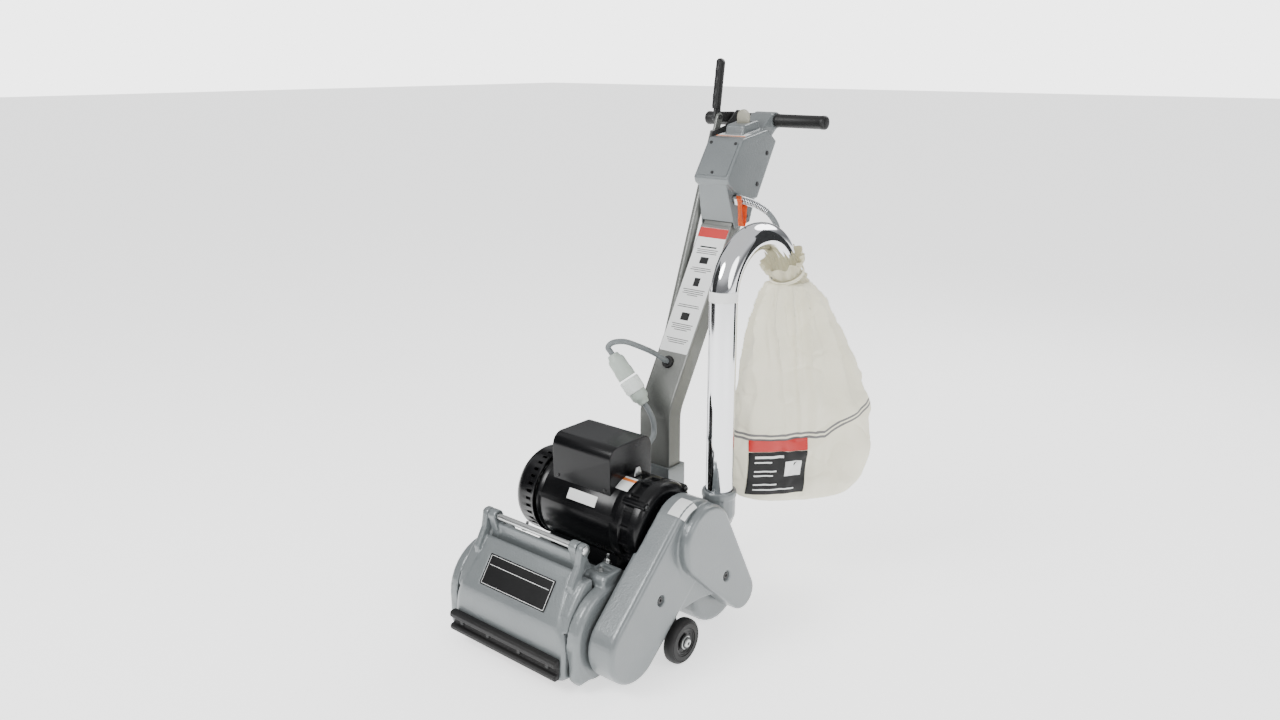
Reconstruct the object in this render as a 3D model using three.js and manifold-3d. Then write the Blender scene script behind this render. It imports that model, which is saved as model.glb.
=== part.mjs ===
// Floor drum sander: an upright machine that sands timber floors with a belt-driven drum.
// Millimetres, +Z up. X runs along the drum (+X is the belt side), -Y is the front and Z = 0 the floor.
// The drum's axis stands over Y = 0 while building; the finished group is centred on its outline.
import * as THREE from 'three';
import { mergeVertices } from 'three/addons/utils/BufferGeometryUtils.js';
import Module from 'manifold-3d';

const wasm = await Module();
wasm.setup();

// ---------------------------------------------------------------- driving dimensions
const GAP = 0.3;                    // working gap between touching pieces
const RAD = Math.PI / 180;

const DRUM = { y: 0, z: 86, r: 76, half: 100, sleeve: 1.7, shaftR: 10 };
const END = { x0: 141, x1: 165, r: 90 };                 // end housings of the frame
const HOOD = { rOut: 92, rIn: 86, half: 141 };           // shell over the back of the drum
const DECK = { half: 119, y0: 82, y1: 250, z0: 118, z1: 140 };
const COVER = { r: 96, t: 6, wideX: 140, narrowX: 118, round: 13 };
const PLATE = { half: 83, y: -67.3, z: 154.3 };          // nameplate centre on the sloping face
const SLOPE = 55.5 * RAD;                                // nameplate face, from horizontal
const ROD = { y: -20.6, z: 237, r: 6, half: 126 };
const MOTOR = { y: 152, z: 232, r: 82.5, x0: -90, x1: 110, shaftR: 9 };
const FAN = { y: 285, z: 73, shaftR: 7, pulleyR: 20 };   // dust blower's spindle
const SCROLL = { y: 272, z: 84, r: 80, x0: 122, x1: 197 };
const BELT = { x0: 182, x1: 204, drumR: 30, motorR: 34, t: 4 };
const FANBELT = { x0: 230, x1: 242, motorR: 26, t: 4 };
const GUARD = {
  xIn: 169, x1: 227.7, x2In: 200, x2: 248, wall: 4,
  low: [-5, 81], lowR: 66, top: [157, 228], topR: 70,      // drum belt's level: its ends' centres and radii
  lobe: [170, 222], lobeR: 66, tailR: 34,                  // blower belt's level, raised from the first
};
const WHEEL = { y: 115, z: 42, r: 42, x0: 218, x1: 240, hubR: 26 };
const TRUCK = { y: 60, z: 112, pinR: 6, armX0: 113, armX1: 135 };  // pivot of the wheel truck
const LINK = { x: -57, r: 10, topY: 590, topZ: 929, lowY: 288, lowZ: 100, eyeR: 9.5, pinR: 4 };
const LEVER = { x0: -64, x1: -58, y: 648, z: 927 };      // lever plate and its pivot
const CASTER = { y: 318, trail: 24, r: 29, half: 12 };
const POST = {
  half: 38, depth: 38, wall: 2.5, y: 335, z0: 204, kinkZ: 375.8, bendR: 80, lean: 30 * RAD, up: 388,
};
const PIPE = {
  x: 194, y: 271, r: 25.4, wall: 1.6, z0: 236, zBend: 634, bendR: 102, turn: 150 * RAD, tail: 34,
};
const BAR = { y: 678, z: 921, r: 11, gripR: 14.2, half: 148 };
const CORD = 5.5;                                        // radius of the flexible cables
const ORIGIN = [43, 290.8, 0];                           // the file's origin, mid-outline on the floor

// ---------------------------------------------------------------- solid helpers
function volumeOf(geo) {
  const p = geo.attributes.position, i = geo.index;
  const a = new THREE.Vector3(), b = new THREE.Vector3(), c = new THREE.Vector3();
  let v = 0;
  for (let k = 0; k < i.count; k += 3) {
    a.fromBufferAttribute(p, i.getX(k));
    b.fromBufferAttribute(p, i.getX(k + 1));
    c.fromBufferAttribute(p, i.getX(k + 2));
    v += a.dot(b.cross(c)) / 6;
  }
  return v;
}

// Weld a geometry, drop its empty triangles and turn it to face outwards.
function weld(geo) {
  geo = geo.clone();
  geo.deleteAttribute('normal');
  if (geo.attributes.uv) geo.deleteAttribute('uv');
  geo = mergeVertices(geo, 1e-3);
  const src = geo.index.array, kept = [];
  for (let k = 0; k < src.length; k += 3) {
    const [a, b, c] = [src[k], src[k + 1], src[k + 2]];
    if (a !== b && b !== c && a !== c) kept.push(a, b, c);
  }
  geo.setIndex(kept);
  if (volumeOf(geo) < 0) {
    for (let k = 0; k < kept.length; k += 3) [kept[k], kept[k + 1]] = [kept[k + 1], kept[k]];
    geo.setIndex(kept);
  }
  return geo;
}

function solid(geo) {
  const g = weld(geo);
  return new wasm.Manifold(new wasm.Mesh({
    numProp: 3,
    vertProperties: new Float32Array(g.attributes.position.array),
    triVerts: new Uint32Array(g.index.array),
  }));
}

function toGeometry(man) {
  const m = man.getMesh();
  const geo = new THREE.BufferGeometry();
  geo.setAttribute('position', new THREE.BufferAttribute(new Float32Array(m.vertProperties), 3));
  geo.setIndex(new THREE.BufferAttribute(new Uint32Array(m.triVerts), 1));
  return geo;
}

const join = (...parts) => parts.reduce((a, b) => a.add(b));
const cut = (body, ...tools) => tools.reduce((a, b) => a.subtract(b), body);

// ---------------------------------------------------------------- shape helpers
const TO_X = new THREE.Matrix4().makeBasis(        // shape plane (x, y, z) -> world (Y, Z, X)
  new THREE.Vector3(0, 1, 0), new THREE.Vector3(0, 0, 1), new THREE.Vector3(1, 0, 0));
const LATHE_X = new THREE.Matrix4().makeBasis(     // lathe axis y -> world X
  new THREE.Vector3(0, 0, 1), new THREE.Vector3(1, 0, 0), new THREE.Vector3(0, 1, 0));
const LATHE_Z = new THREE.Matrix4().makeRotationX(Math.PI / 2);

function box(x0, x1, y0, y1, z0, z1) {
  return solid(new THREE.BoxGeometry(x1 - x0, y1 - y0, z1 - z0)
    .translate((x0 + x1) / 2, (y0 + y1) / 2, (z0 + z1) / 2));
}

// An outline of [y, z] points, carried along X from x0 to x1; bevel rounds the two outer edges.
function plate(points, x0, x1, bevel = 0, steps = 3) {
  const shape = new THREE.Shape(points.map(([y, z]) => new THREE.Vector2(y, z)));
  const geo = new THREE.ExtrudeGeometry(shape, bevel
    ? { depth: x1 - x0 - 2 * bevel, bevelThickness: bevel, bevelSize: bevel, bevelOffset: -bevel,
        bevelSegments: steps, steps: 1 }
    : { depth: x1 - x0, bevelEnabled: false, steps: 1 });
  return solid(geo.applyMatrix4(TO_X).translate(x0 + bevel, 0, 0));
}

// A turned piece about an X line through (y, z): profile of [radius, x] points, closed by the axis.
function turned(profile, y, z, seg = 24) {
  const pts = profile.map(([r, x]) => new THREE.Vector2(r, x));
  return solid(new THREE.LatheGeometry(pts, seg).applyMatrix4(LATHE_X).translate(0, y, z));
}
const rodX = (y, z, r, x0, x1, seg = 16) => turned([[0, x0], [r, x0], [r, x1], [0, x1]], y, z, seg);
const ringX = (y, z, rIn, rOut, x0, x1, seg = 20) =>
  turned([[rIn, x0], [rOut, x0], [rOut, x1], [rIn, x1], [rIn, x0]], y, z, seg);
const rodZ = (x, y, r, z0, z1, seg = 16) => solid(new THREE.LatheGeometry(
  [[0, z0], [r, z0], [r, z1], [0, z1]].map(([a, b]) => new THREE.Vector2(a, b)), seg)
  .applyMatrix4(LATHE_Z).translate(x, y, 0));

// Points of an arc about (y, z), angles from +Y towards +Z in degrees.
function arc(y, z, r, a0, a1, n) {
  const out = [];
  for (let k = 0; k <= n; k++) {
    const a = (a0 + (a1 - a0) * k / n) * RAD;
    out.push([y + r * Math.cos(a), z + r * Math.sin(a)]);
  }
  return out;
}

// The stretched-band outline round two circles, with n points on each end.
function band(c1, r1, c2, r2, n = 10) {
  const dy = c2[0] - c1[0], dz = c2[1] - c1[1];
  const dir = Math.atan2(dz, dy) / RAD;
  const open = Math.acos((r1 - r2) / Math.hypot(dy, dz)) / RAD;
  return [...arc(c1[0], c1[1], r1, dir + open, dir + 360 - open, n),
    ...arc(c2[0], c2[1], r2, dir - open, dir + open, n)];
}

// A closed skin over rings of equal length, each a list of [x, y, z] points.
function loft(rings) {
  const n = rings[0].length, pos = rings.flat(2), idx = [];
  for (let r = 0; r < rings.length - 1; r++) {
    for (let k = 0; k < n; k++) {
      const a = r * n + k, b = r * n + (k + 1) % n;
      idx.push(a, b, b + n, a, b + n, a + n);
    }
  }
  const caps = [[0, -1], [rings.length - 1, 1]];
  for (const [r, side] of caps) {
    const mid = [0, 1, 2].map((c) => rings[r].reduce((s, p) => s + p[c], 0) / n);
    const m = pos.length / 3;
    pos.push(...mid);
    for (let k = 0; k < n; k++) {
      const a = r * n + k, b = r * n + (k + 1) % n;
      if (side > 0) idx.push(a, b, m); else idx.push(b, a, m);
    }
  }
  const geo = new THREE.BufferGeometry();
  geo.setAttribute('position', new THREE.Float32BufferAttribute(pos, 3));
  geo.setIndex(idx);
  geo.computeVertexNormals();
  return solid(geo);
}

// A round bar along a smooth line through the points.
function cable(points, r, steps, seg = 4) {
  const path = new THREE.CatmullRomCurve3(points.map((p) => new THREE.Vector3(...p)), false,
    'centripetal');
  const ring = new THREE.Shape().absarc(0, 0, r, 0, 2 * Math.PI, false);
  return solid(new THREE.ExtrudeGeometry(ring,
    { steps, curveSegments: seg, bevelEnabled: false, extrudePath: path }));
}

// A turned piece whose axis runs from point a to point b; profile of [radius, distance] points.
function spindle(profile, a, b, seg = 14) {
  const from = new THREE.Vector3(...a), dir = new THREE.Vector3(...b).sub(from).normalize();
  const turn = new THREE.Quaternion().setFromUnitVectors(new THREE.Vector3(0, 1, 0), dir);
  const pts = profile.map(([r, h]) => new THREE.Vector2(r, h));
  return solid(new THREE.LatheGeometry(pts, seg).applyQuaternion(turn).translate(...a));
}

// ---------------------------------------------------------------- assembly and finishes
const sander = new THREE.Group();
sander.name = 'floor_drum_sander';

const FINISH = {
  enamel: [0x8fa5a5, 0.35, 0.3], postEnamel: [0x6c7468, 0.4, 0.3], steel: [0xb9bdbb, 0.3, 0.9],
  darkSteel: [0x3b3e3c, 0.45, 0.7], black: [0x15181a, 0.4, 0.2], rubber: [0x1b1c1f, 0.75, 0],
  grip: [0x18191b, 0.7, 0], chrome: [0xdfe3e6, 0.08, 1], canvas: [0xe8e0cd, 0.95, 0],
  plug: [0xc9d2cb, 0.5, 0], cable: [0x7f8889, 0.6, 0], beige: [0xb9b4a0, 0.5, 0],
  abrasive: [0x7a4b2c, 0.95, 0], drumRubber: [0x3c3a37, 0.9, 0], alloy: [0x9aa0a2, 0.45, 0.7],
  plateBlack: [0x1e2222, 0.35, 0.1],
};

function add(name, man, finish) {
  const [color, roughness, metalness] = FINISH[finish];
  const geo = toGeometry(man).translate(-ORIGIN[0], -ORIGIN[1], -ORIGIN[2]);
  geo.computeVertexNormals();
  const mesh = new THREE.Mesh(geo, new THREE.MeshStandardMaterial({ color, roughness, metalness }));
  mesh.name = name;
  sander.add(mesh);
}

// ---------------------------------------------------------------- truck frame
// One casting: end housings with the drum bearings, a hood over the back of the drum, the deck
// that carries the motor, the dust channel under it, the rod's ears and the post's socket.
const sides = [-1, 1];
const spanX = (s, a, b) => (s > 0 ? [a, b] : [-b, -a]);

function frameCasting() {
  const { y, z } = DRUM;
  const hood = plate([...arc(y, z, HOOD.rOut, 100, -22, 10), ...arc(y, z, HOOD.rIn, -22, 100, 10)],
    -HOOD.half - 1, HOOD.half + 1);
  const deck = box(-DECK.half, DECK.half, DECK.y0, DECK.y1, DECK.z0, DECK.z1);
  const tail = box(-43.5, 43.5, DECK.y1 - 5, 366, DECK.z0, DECK.z1);
  const socket = box(-43.5, 43.5, 308.5, 361.5, DECK.z1 - 2, 262);
  let body = join(hood, deck, tail, socket);

  for (const s of sides) {
    const [x0, x1] = spanX(s, END.x0, END.x1);
    const edge = 8;
    const rim = s > 0
      ? [[0, x0], [END.r, x0], [END.r, x1 - edge], [END.r - 3, x1 - 3], [END.r - edge, x1], [0, x1]]
      : [[0, x0], [END.r - edge, x0], [END.r - 3, x0 + 3], [END.r, x0 + edge], [END.r, x1], [0, x1]];
    const disc = turned(rim, y, z, 36);
    const [e0, e1] = spanX(s, 93, 111);
    const ear = plate([...arc(ROD.y, ROD.z, 12, 0, 180, 8), [-24, 205], [-22, 172], [22, 170], [2, 205]],
      e0, e1);
    const [b0, b1] = spanX(s, 112, 160);
    const block = plate([[-14, 120], [-14, 186], [-8, 193], [34, 193], [40, 187], [44, 120]], b0, b1, 3, 1);
    const [t0, t1] = spanX(s, END.x0 + 1, END.x1 - 1);
    const toe = plate([[-89, 90], [-89, 27], [-79, 15], [-20, 15], [0, 60]], t0, t1, 7, 2);
    const [p0, p1] = spanX(s, 103, END.x0 + 3);
    const pivot = rodX(TRUCK.y, TRUCK.z, TRUCK.pinR, p0, p1, 12);
    const [w0, w1] = spanX(s, 103, 108);
    const wall = plate([...arc(y, z, 89, 100, -22, 7), ...arc(y, z, 16, -22, 100, 4)], w0, w1);
    body = join(body, disc, toe, ear, block, pivot, wall);
  }

  const web = box(-95, 95, -20, -13, 172, 222);
  const duct = box(54, 117, 232, 304, 44, DECK.z1 - 2);
  body = join(body, web, duct);

  const tools = [
    box(-200, 200, -120, 200, -20, 15),                                        // open underside
    rodX(y, z, 14, -150, 150, 20),                                             // shaft's way
    box(-38.4, 38.4, 315.7, 354.4, POST.z0 - 1, 300),                          // post socket
    box(24, 92, 70, 262, DECK.z0 + 4, DECK.z1 - 5),                            // dust channel
    box(58, 113, 236, 300, 48, DECK.z1 - 5),                                   // drop to the blower
    rodX(FAN.y - 10, FAN.z + 8, 26, 105, 125, 20),                             // blower's eye
    rodX(ROD.y, ROD.z, ROD.r + GAP, -130, 130, 16),
    rodZ(0, CASTER.y, 9, DECK.z0 - 5, DECK.z0 + 16),
    box(-80, -63, 130, 252, DECK.z0 - 1, DECK.z1 + 1),                         // way for the tail arm
  ];
  for (const s of sides) {
    const [a0, a1] = spanX(s, 108.5, END.x0 - 1);
    tools.push(box(a0, a1, 20, 130, 20, DECK.z0 - 1));                         // truck arm bay
    const [c0, c1] = spanX(s, END.x0 + 4, END.x1 + 5);
    tools.push(rodX(y, z, 22, c0, c1, 16));
    const [d0, d1] = spanX(s, 120, 148);
    tools.push(box(d0, d1, 4, 26, 187, 200));                                  // recess in the block
  }
  let out = cut(body, ...tools);
  for (const s of sides) {                                                     // pivot pins stay
    const [p0, p1] = spanX(s, 104, END.x0 + 3);
    out = out.add(rodX(TRUCK.y, TRUCK.z, TRUCK.pinR, p0, p1, 12));
  }
  return out;
}
add('truck_frame', frameCasting(), 'enamel');

// ---------------------------------------------------------------- front cover and bumper
// The cover wraps the front of the drum and swings up on a rod between the frame's ears.
const down = [-Math.cos(SLOPE), -Math.sin(SLOPE)];       // along the nameplate face, [y, z]
const out = [-Math.sin(SLOPE), Math.cos(SLOPE)];         // off the nameplate face
const onFace = (s, n) => [PLATE.y + down[0] * s + out[0] * n, PLATE.z + down[1] * s + out[1] * n];

function coverCasting() {
  const face = [[-30, 199.5], [-36, 197.5], [-45, 186.5], onFace(-29, 0), onFace(29, 0)];
  const front = [...face, ...arc(DRUM.y, DRUM.z, COVER.r, 160, 176, 3), [-97.8, 70], [-99.5, 40], [-99.8, 26],
    [-97, 22]];
  const back = [[-66, 22], [-64, 60], [-60, 110], [-38, 160], [-31, 190]];
  const ring = (side, t) => {
    const inset = t < COVER.round
      ? COVER.round - Math.sqrt(COVER.round ** 2 - (COVER.round - t) ** 2) : 0;
    const place = ([y, z], pull) => {
      const d = Math.hypot(y - DRUM.y, z - DRUM.z);
      const ease = THREE.MathUtils.clamp((197 - z) / 25 + 0.25, 0.25, 1);    // the top edge stays crisp
      const k = pull ? (d - inset * ease) / d : 1;
      const taper = THREE.MathUtils.clamp((z - 90) / 92, 0, 1);
      const wide = COVER.wideX + (COVER.narrowX - COVER.wideX) * taper;
      return [side * (wide - t), DRUM.y + (y - DRUM.y) * k, DRUM.z + (z - DRUM.z) * k];
    };
    return [...front.map((p) => place(p, true)), ...back.map((p) => place(p, false))];
  };
  const steps = [0, 1.5, 5.5, COVER.round];
  const shell = loft([...steps.map((t) => ring(-1, t)), ...[...steps].reverse().map((t) => ring(1, t))]);

  const inside = plate([...arc(DRUM.y, DRUM.z, COVER.r - COVER.t, 155, 180, 4), [-93.5, 10], [-20, 10],
    [-10, 150], [-20, 187], [-38, 185], onFace(-27, -COVER.t)], -108, 108);
  const lower = plate([...arc(DRUM.y, DRUM.z, COVER.r - COVER.t, 158, 180, 4), [-93.5, 10], [-20, 10],
    [-20, 104]], -133, 133);
  const recess = plate([onFace(-29.3, 1), onFace(29.3, 1), onFace(29.3, -1.5), onFace(-29.3, -1.5)],
    -PLATE.half - 0.3, PLATE.half + 0.3);
  let body = cut(shell, inside, lower, recess);
  for (const s of sides) {
    const [x0, x1] = spanX(s, 112, 125);
    const ear = plate([...arc(ROD.y, ROD.z, 12, -35, 165, 10), [-38, 214], [-57, 182], [-56, 172],
      [-36, 172], [-26, 200]], x0, x1, 1.5, 1);
    const [c0, c1] = spanX(s, 112, 140);                 // shoulder that meets the frame's block
    const cheek = plate([[-88, 112], [-78, 138], [-56, 168], [-46, 179], [-36, 187], [-18, 187], [-18, 108],
      [-60, 104]], c0, c1, 5, 2);
    body = join(body, ear, cheek);
  }
  return cut(body, rodX(ROD.y, ROD.z, ROD.r + GAP, -130, 130, 20));
}
add('front_cover', coverCasting(), 'enamel');

add('cover_rod', turned([[0, -ROD.half - 3], [6, -ROD.half - 3], [9, -ROD.half - 1], [9, -ROD.half],
  [ROD.r, -ROD.half], [ROD.r, ROD.half], [9, ROD.half], [9, ROD.half + 1], [6, ROD.half + 3],
  [0, ROD.half + 3]], ROD.y, ROD.z, 16), 'steel');

add('nameplate', plate([onFace(-28.8, -0.2), onFace(28.8, -0.2), onFace(28.8, -1.2), onFace(-28.8, -1.2)],
  -PLATE.half, PLATE.half), 'plateBlack');

const bumperOutline = [[-98.7, 67.5], [-104, 68.5], [-111, 67.5], [-113.6, 64], [-113.6, 57], [-111.5, 54.5],
  [-104.5, 53], [-104.5, 42.5], [-111.5, 41], [-113.9, 38.5], [-113.9, 32.5], [-111.5, 29.5], [-100.5, 29.5],
  [-100.3, 40]];
add('bumper', plate(bumperOutline, -135.5, 135.5, 1.5, 1), 'rubber');

// ---------------------------------------------------------------- drum
// A rubber-faced drum turns the abrasive sheet; the sheet's ends tuck into a slot along the drum.
const coreR = DRUM.r - DRUM.sleeve;
const slot = box(-120, 120, -1.5, 1.5, DRUM.z + coreR - 22, DRUM.z + 90);
add('sanding_drum', cut(ringX(DRUM.y, DRUM.z, DRUM.shaftR + GAP, coreR - GAP, -99.5, 99.5, 32), slot),
  'drumRubber');
add('abrasive_sleeve', ringX(DRUM.y, DRUM.z, coreR, DRUM.r, -DRUM.half, DRUM.half, 32), 'abrasive');
add('drum_shaft', turned([[0, -163], [DRUM.shaftR - 2, -163], [DRUM.shaftR, -161], [DRUM.shaftR, 206],
  [DRUM.shaftR - 2, 208], [0, 208]], DRUM.y, DRUM.z, 20), 'steel');
for (const s of sides) {
  const [x0, x1] = spanX(s, END.x0 + 5, END.x1 - 3);
  add(s > 0 ? 'drum_bearing_right' : 'drum_bearing_left',
    ringX(DRUM.y, DRUM.z, DRUM.shaftR + GAP, 22 - GAP, x0, x1, 16), 'steel');
}
add('drum_pulley', ringX(DRUM.y, DRUM.z, DRUM.shaftR + GAP, BELT.drumR, BELT.x0 - 3, BELT.x1 + 2, 20),
  'alloy');

// ---------------------------------------------------------------- motor
// The stator shell lies along X on the deck, with a fan and its cover on the far end.
const M = MOTOR;
add('motor_shell', turned([[12, M.x0], [M.r - 3, M.x0], [M.r, M.x0 + 3], [M.r, M.x1], [M.r - 5, M.x1],
  [M.r - 5, 78], [52, 78], [52, -48], [M.r - 5, -48], [M.r - 5, M.x0 + 7], [12, M.x0 + 7], [12, M.x0]],
  M.y, M.z, 36), 'black');
add('motor_rotor', turned([[0, -128], [M.shaftR, -128], [M.shaftR, -46], [51, -44], [51, 74],
  [M.shaftR, 76], [M.shaftR, 243], [0, 243]], M.y, M.z, 18), 'steel');

function endBell() {
  const bell = turned([[M.shaftR + 1, 166], [66, 166], [77, 163], [M.r, 156], [M.r, 141], [M.r - 5, 136],
    [M.r - 5, 122], [M.r, 117], [M.r, M.x1 + GAP], [M.r - 8, M.x1 + GAP], [M.r - 10, 152], [38, 156],
    [M.shaftR + 1, 156], [M.shaftR + 1, 166]], M.y, M.z, 36);
  const lugs = [45, 135, 225, 315].map((a) => rodX(M.y + 80 * Math.cos(a * RAD),
    M.z + 80 * Math.sin(a * RAD), 8, 118, 162, 8));
  return join(bell, ...lugs);
}
add('motor_end_bell', endBell(), 'black');

const blades = [0, 1, 2, 3, 4, 5, 6].map((k) => solid(new THREE.BoxGeometry(20, 50, 3)
  .translate(-116, 40, 0).applyMatrix4(new THREE.Matrix4().makeRotationX(k * 360 / 7 * RAD))
  .translate(0, M.y, M.z)));
add('cooling_fan', join(ringX(M.y, M.z, M.shaftR + GAP, 68, -107, -104, 18),
  ringX(M.y, M.z, M.shaftR + GAP, 20, -124, -105, 12), ...blades), 'plateBlack');

function fanCover() {
  const r = M.r + 2;
  const dome = turned([[0, -156], [50, -155.5], [66, -152], [75, -147], [81, -139], [r, -129], [r, -94],
    [r - 2.2, -94], [r - 2.2, -129], [79, -137.5], [73.5, -144.6], [65, -149.6], [50, -153], [0, -153.5]],
  M.y, M.z, 36);
  const slots = [];
  for (let k = 0; k < 12; k++) {
    slots.push(solid(new THREE.BoxGeometry(7, 18, 26).translate(-101, r, 0)
      .applyMatrix4(new THREE.Matrix4().makeRotationX((k * 30 + 15) * RAD)).translate(0, M.y, M.z)));
  }
  return cut(dome, ...slots);
}
add('fan_cover', fanCover(), 'black');

const boxOutline = [[91, 262], [91, 352], ...arc(114, 354, 23, 180, 90, 5), ...arc(185, 354, 23, 90, 0, 5),
  [208, 280], [208, 262]];
add('capacitor_cover', cut(plate(boxOutline, -61, 82, 7, 2), rodX(M.y, M.z, M.r + 1, -120, 120, 36)),
  'black');
add('motor_base', cut(plate([[88, DECK.z1 + GAP], [216, DECK.z1 + GAP], [212, 190], [92, 190]], -70, 98),
  rodX(M.y, M.z, M.r + 1, -120, 120, 36)), 'black');

// Two grooved steps on the motor shaft: the wide one drives the drum, the outer one the blower.
add('motor_pulley', turned([[M.shaftR + GAP, BELT.x0 - 3], [BELT.motorR, BELT.x0 - 3],
  [BELT.motorR, BELT.x1 + 2], [18, BELT.x1 + 4], [18, FANBELT.x0 - 4], [30, FANBELT.x0 - 3],
  [FANBELT.motorR, FANBELT.x0 - 0.6], [FANBELT.motorR, FANBELT.x1 + 0.5], [M.shaftR + GAP, FANBELT.x1 + 0.5],
  [M.shaftR + GAP, BELT.x0 - 3]], M.y, M.z, 20), 'alloy');

function beltLoop(c1, r1, c2, r2, x0, x1, t) {
  const outer = plate(band(c1, r1 + 1 + t, c2, r2 + 1 + t, 10), x0, x1);
  return cut(outer, plate(band(c1, r1 + 1, c2, r2 + 1, 10), x0 - 1, x1 + 1));
}
const drumC = [DRUM.y, DRUM.z], motorC = [M.y, M.z], fanC = [FAN.y, FAN.z];
add('drive_belt', beltLoop(motorC, BELT.motorR, drumC, BELT.drumR, BELT.x0, BELT.x1, BELT.t), 'rubber');
add('fan_belt', beltLoop(motorC, FANBELT.motorR, fanC, FAN.pulleyR, FANBELT.x0, FANBELT.x1, FANBELT.t),
  'rubber');

// ---------------------------------------------------------------- belt guard
// A two-level cast cover: the lower level houses the drum belt, the raised level the blower belt.
const skirt = [[60, 56], [84, 77], [112, 100], [171, 100], [214, 92], [230, 150], [150, 228], [40, 150]];
const guardScrews = [[59.5, 144.4, GUARD.x1], [226, 131.5, GUARD.x2]];

function guardCasting() {
  const g = GUARD, w = g.wall;
  const inset = (list, d) => {          // the skirt's outline shrunk by the wall, for the cavity
    const c = [130, 130];
    return list.map(([y, z]) => [y + (c[0] - y) * d / 70, z + (c[1] - z) * d / 40]);
  };
  const low = plate(band(g.low, g.lowR, g.top, g.topR, 11), g.xIn, g.x1, 9, 2);
  const fill = plate(skirt, g.xIn, g.x1 - 1);
  const high = plate(band(g.lobe, g.lobeR, fanC, g.tailR, 11), g.x2In, g.x2, 8, 2);
  let body = join(low, fill, high);
  const bores = [
    plate(band(g.low, g.lowR - w, g.top, g.topR - w, 8), g.xIn - 5, g.x1 - w, 0),
    plate(inset(skirt, w), g.xIn - 5, g.x1 - w - 1),
    plate(band(g.lobe, g.lobeR - w, fanC, g.tailR - w, 8), g.xIn - 5, g.x2 - w),
    plate([[28, 246], [120, 150], [260, 150], [260, 330], [100, 330]], g.xIn - 5, 178),     // motor's side
    box(g.x2 - 1.4, g.x2 + 2, 150, 275, 163.8, 166.6),
    box(g.xIn - 5, SCROLL.x1 + 2, 187, 330, 0, 180),                           // room for the blower
    box(g.xIn - 5, 226.4, 238, 330, 175, 290),                                 // and for its outlet
  ];
  body = cut(body, ...bores);
  for (const [y, z, x] of guardScrews) {
    body = body.add(rodX(y, z, 12, x - 14, x - 2, 14));
    body = cut(body, rodX(y, z, 9.5, x - 7, x + 2, 14));
  }
  return body;
}
add('belt_guard', guardCasting(), 'enamel');
guardScrews.forEach(([y, z, x], k) => {
  const head = rodX(y, z, 6.5, x - 6.7, x - 2, 12);
  const socket = turned([[0, x - 3.8], [3, x - 3.8], [3, x], [0, x]], y, z, 6);
  add(k ? 'guard_screw_rear' : 'guard_screw_front', cut(head, socket), 'steel');
});

// ---------------------------------------------------------------- dust blower and pipe
// A radial fan behind the truck draws dust through the deck and blows it up the pipe.
function blower() {
  const { y, z, r, x0, x1 } = SCROLL;
  const casing = plate(arc(y, z, r, 0, 350, 27), x0, x1, 10, 2);
  const neck = box(x0 + 2, x1, y - 28, y + 28, z + 60, z + 92);
  const cavity = plate(arc(y, z, r - 5, 0, 350, 23), x0 + 5, x1 - 5);
  return cut(join(casing, neck), cavity, box(x0 + 7, x1 - 5, y - 23, y + 23, z + 40, z + 100),
    rodX(FAN.y - 10, FAN.z + 8, 26, x0 - 5, x0 + 10, 20),
    rodX(FAN.y, FAN.z, FAN.shaftR + GAP, x1 - 8, x1 + 5, 20));
}
add('blower_housing', blower(), 'enamel');

function impeller() {
  const vanes = [0, 1, 2, 3, 4, 5].map((k) => solid(new THREE.BoxGeometry(44, 40, 3)
    .translate(SCROLL.x1 - 34, 32, 0).applyMatrix4(new THREE.Matrix4().makeRotationX(k * 60 * RAD))
    .translate(0, FAN.y, FAN.z)));
  return join(rodX(FAN.y, FAN.z, 54, SCROLL.x1 - 13, SCROLL.x1 - 9, 28),
    rodX(FAN.y, FAN.z, 15, SCROLL.x1 - 52, SCROLL.x1 - 10, 20),
    rodX(FAN.y, FAN.z, FAN.shaftR, SCROLL.x1 - 20, FANBELT.x1 + 1, 20), ...vanes);
}
add('impeller', impeller(), 'alloy');
add('fan_pulley', turned([[FAN.shaftR + GAP, FANBELT.x0 - 4], [22.5, FANBELT.x0 - 4], [22.5, FANBELT.x0 - 1],
  [FAN.pulleyR, FANBELT.x0 - 0.5], [FAN.pulleyR, FANBELT.x1 + 0.5], [FAN.shaftR + GAP, FANBELT.x1 + 0.5],
  [FAN.shaftR + GAP, FANBELT.x0 - 4]], FAN.y, FAN.z, 16), 'alloy');

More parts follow.
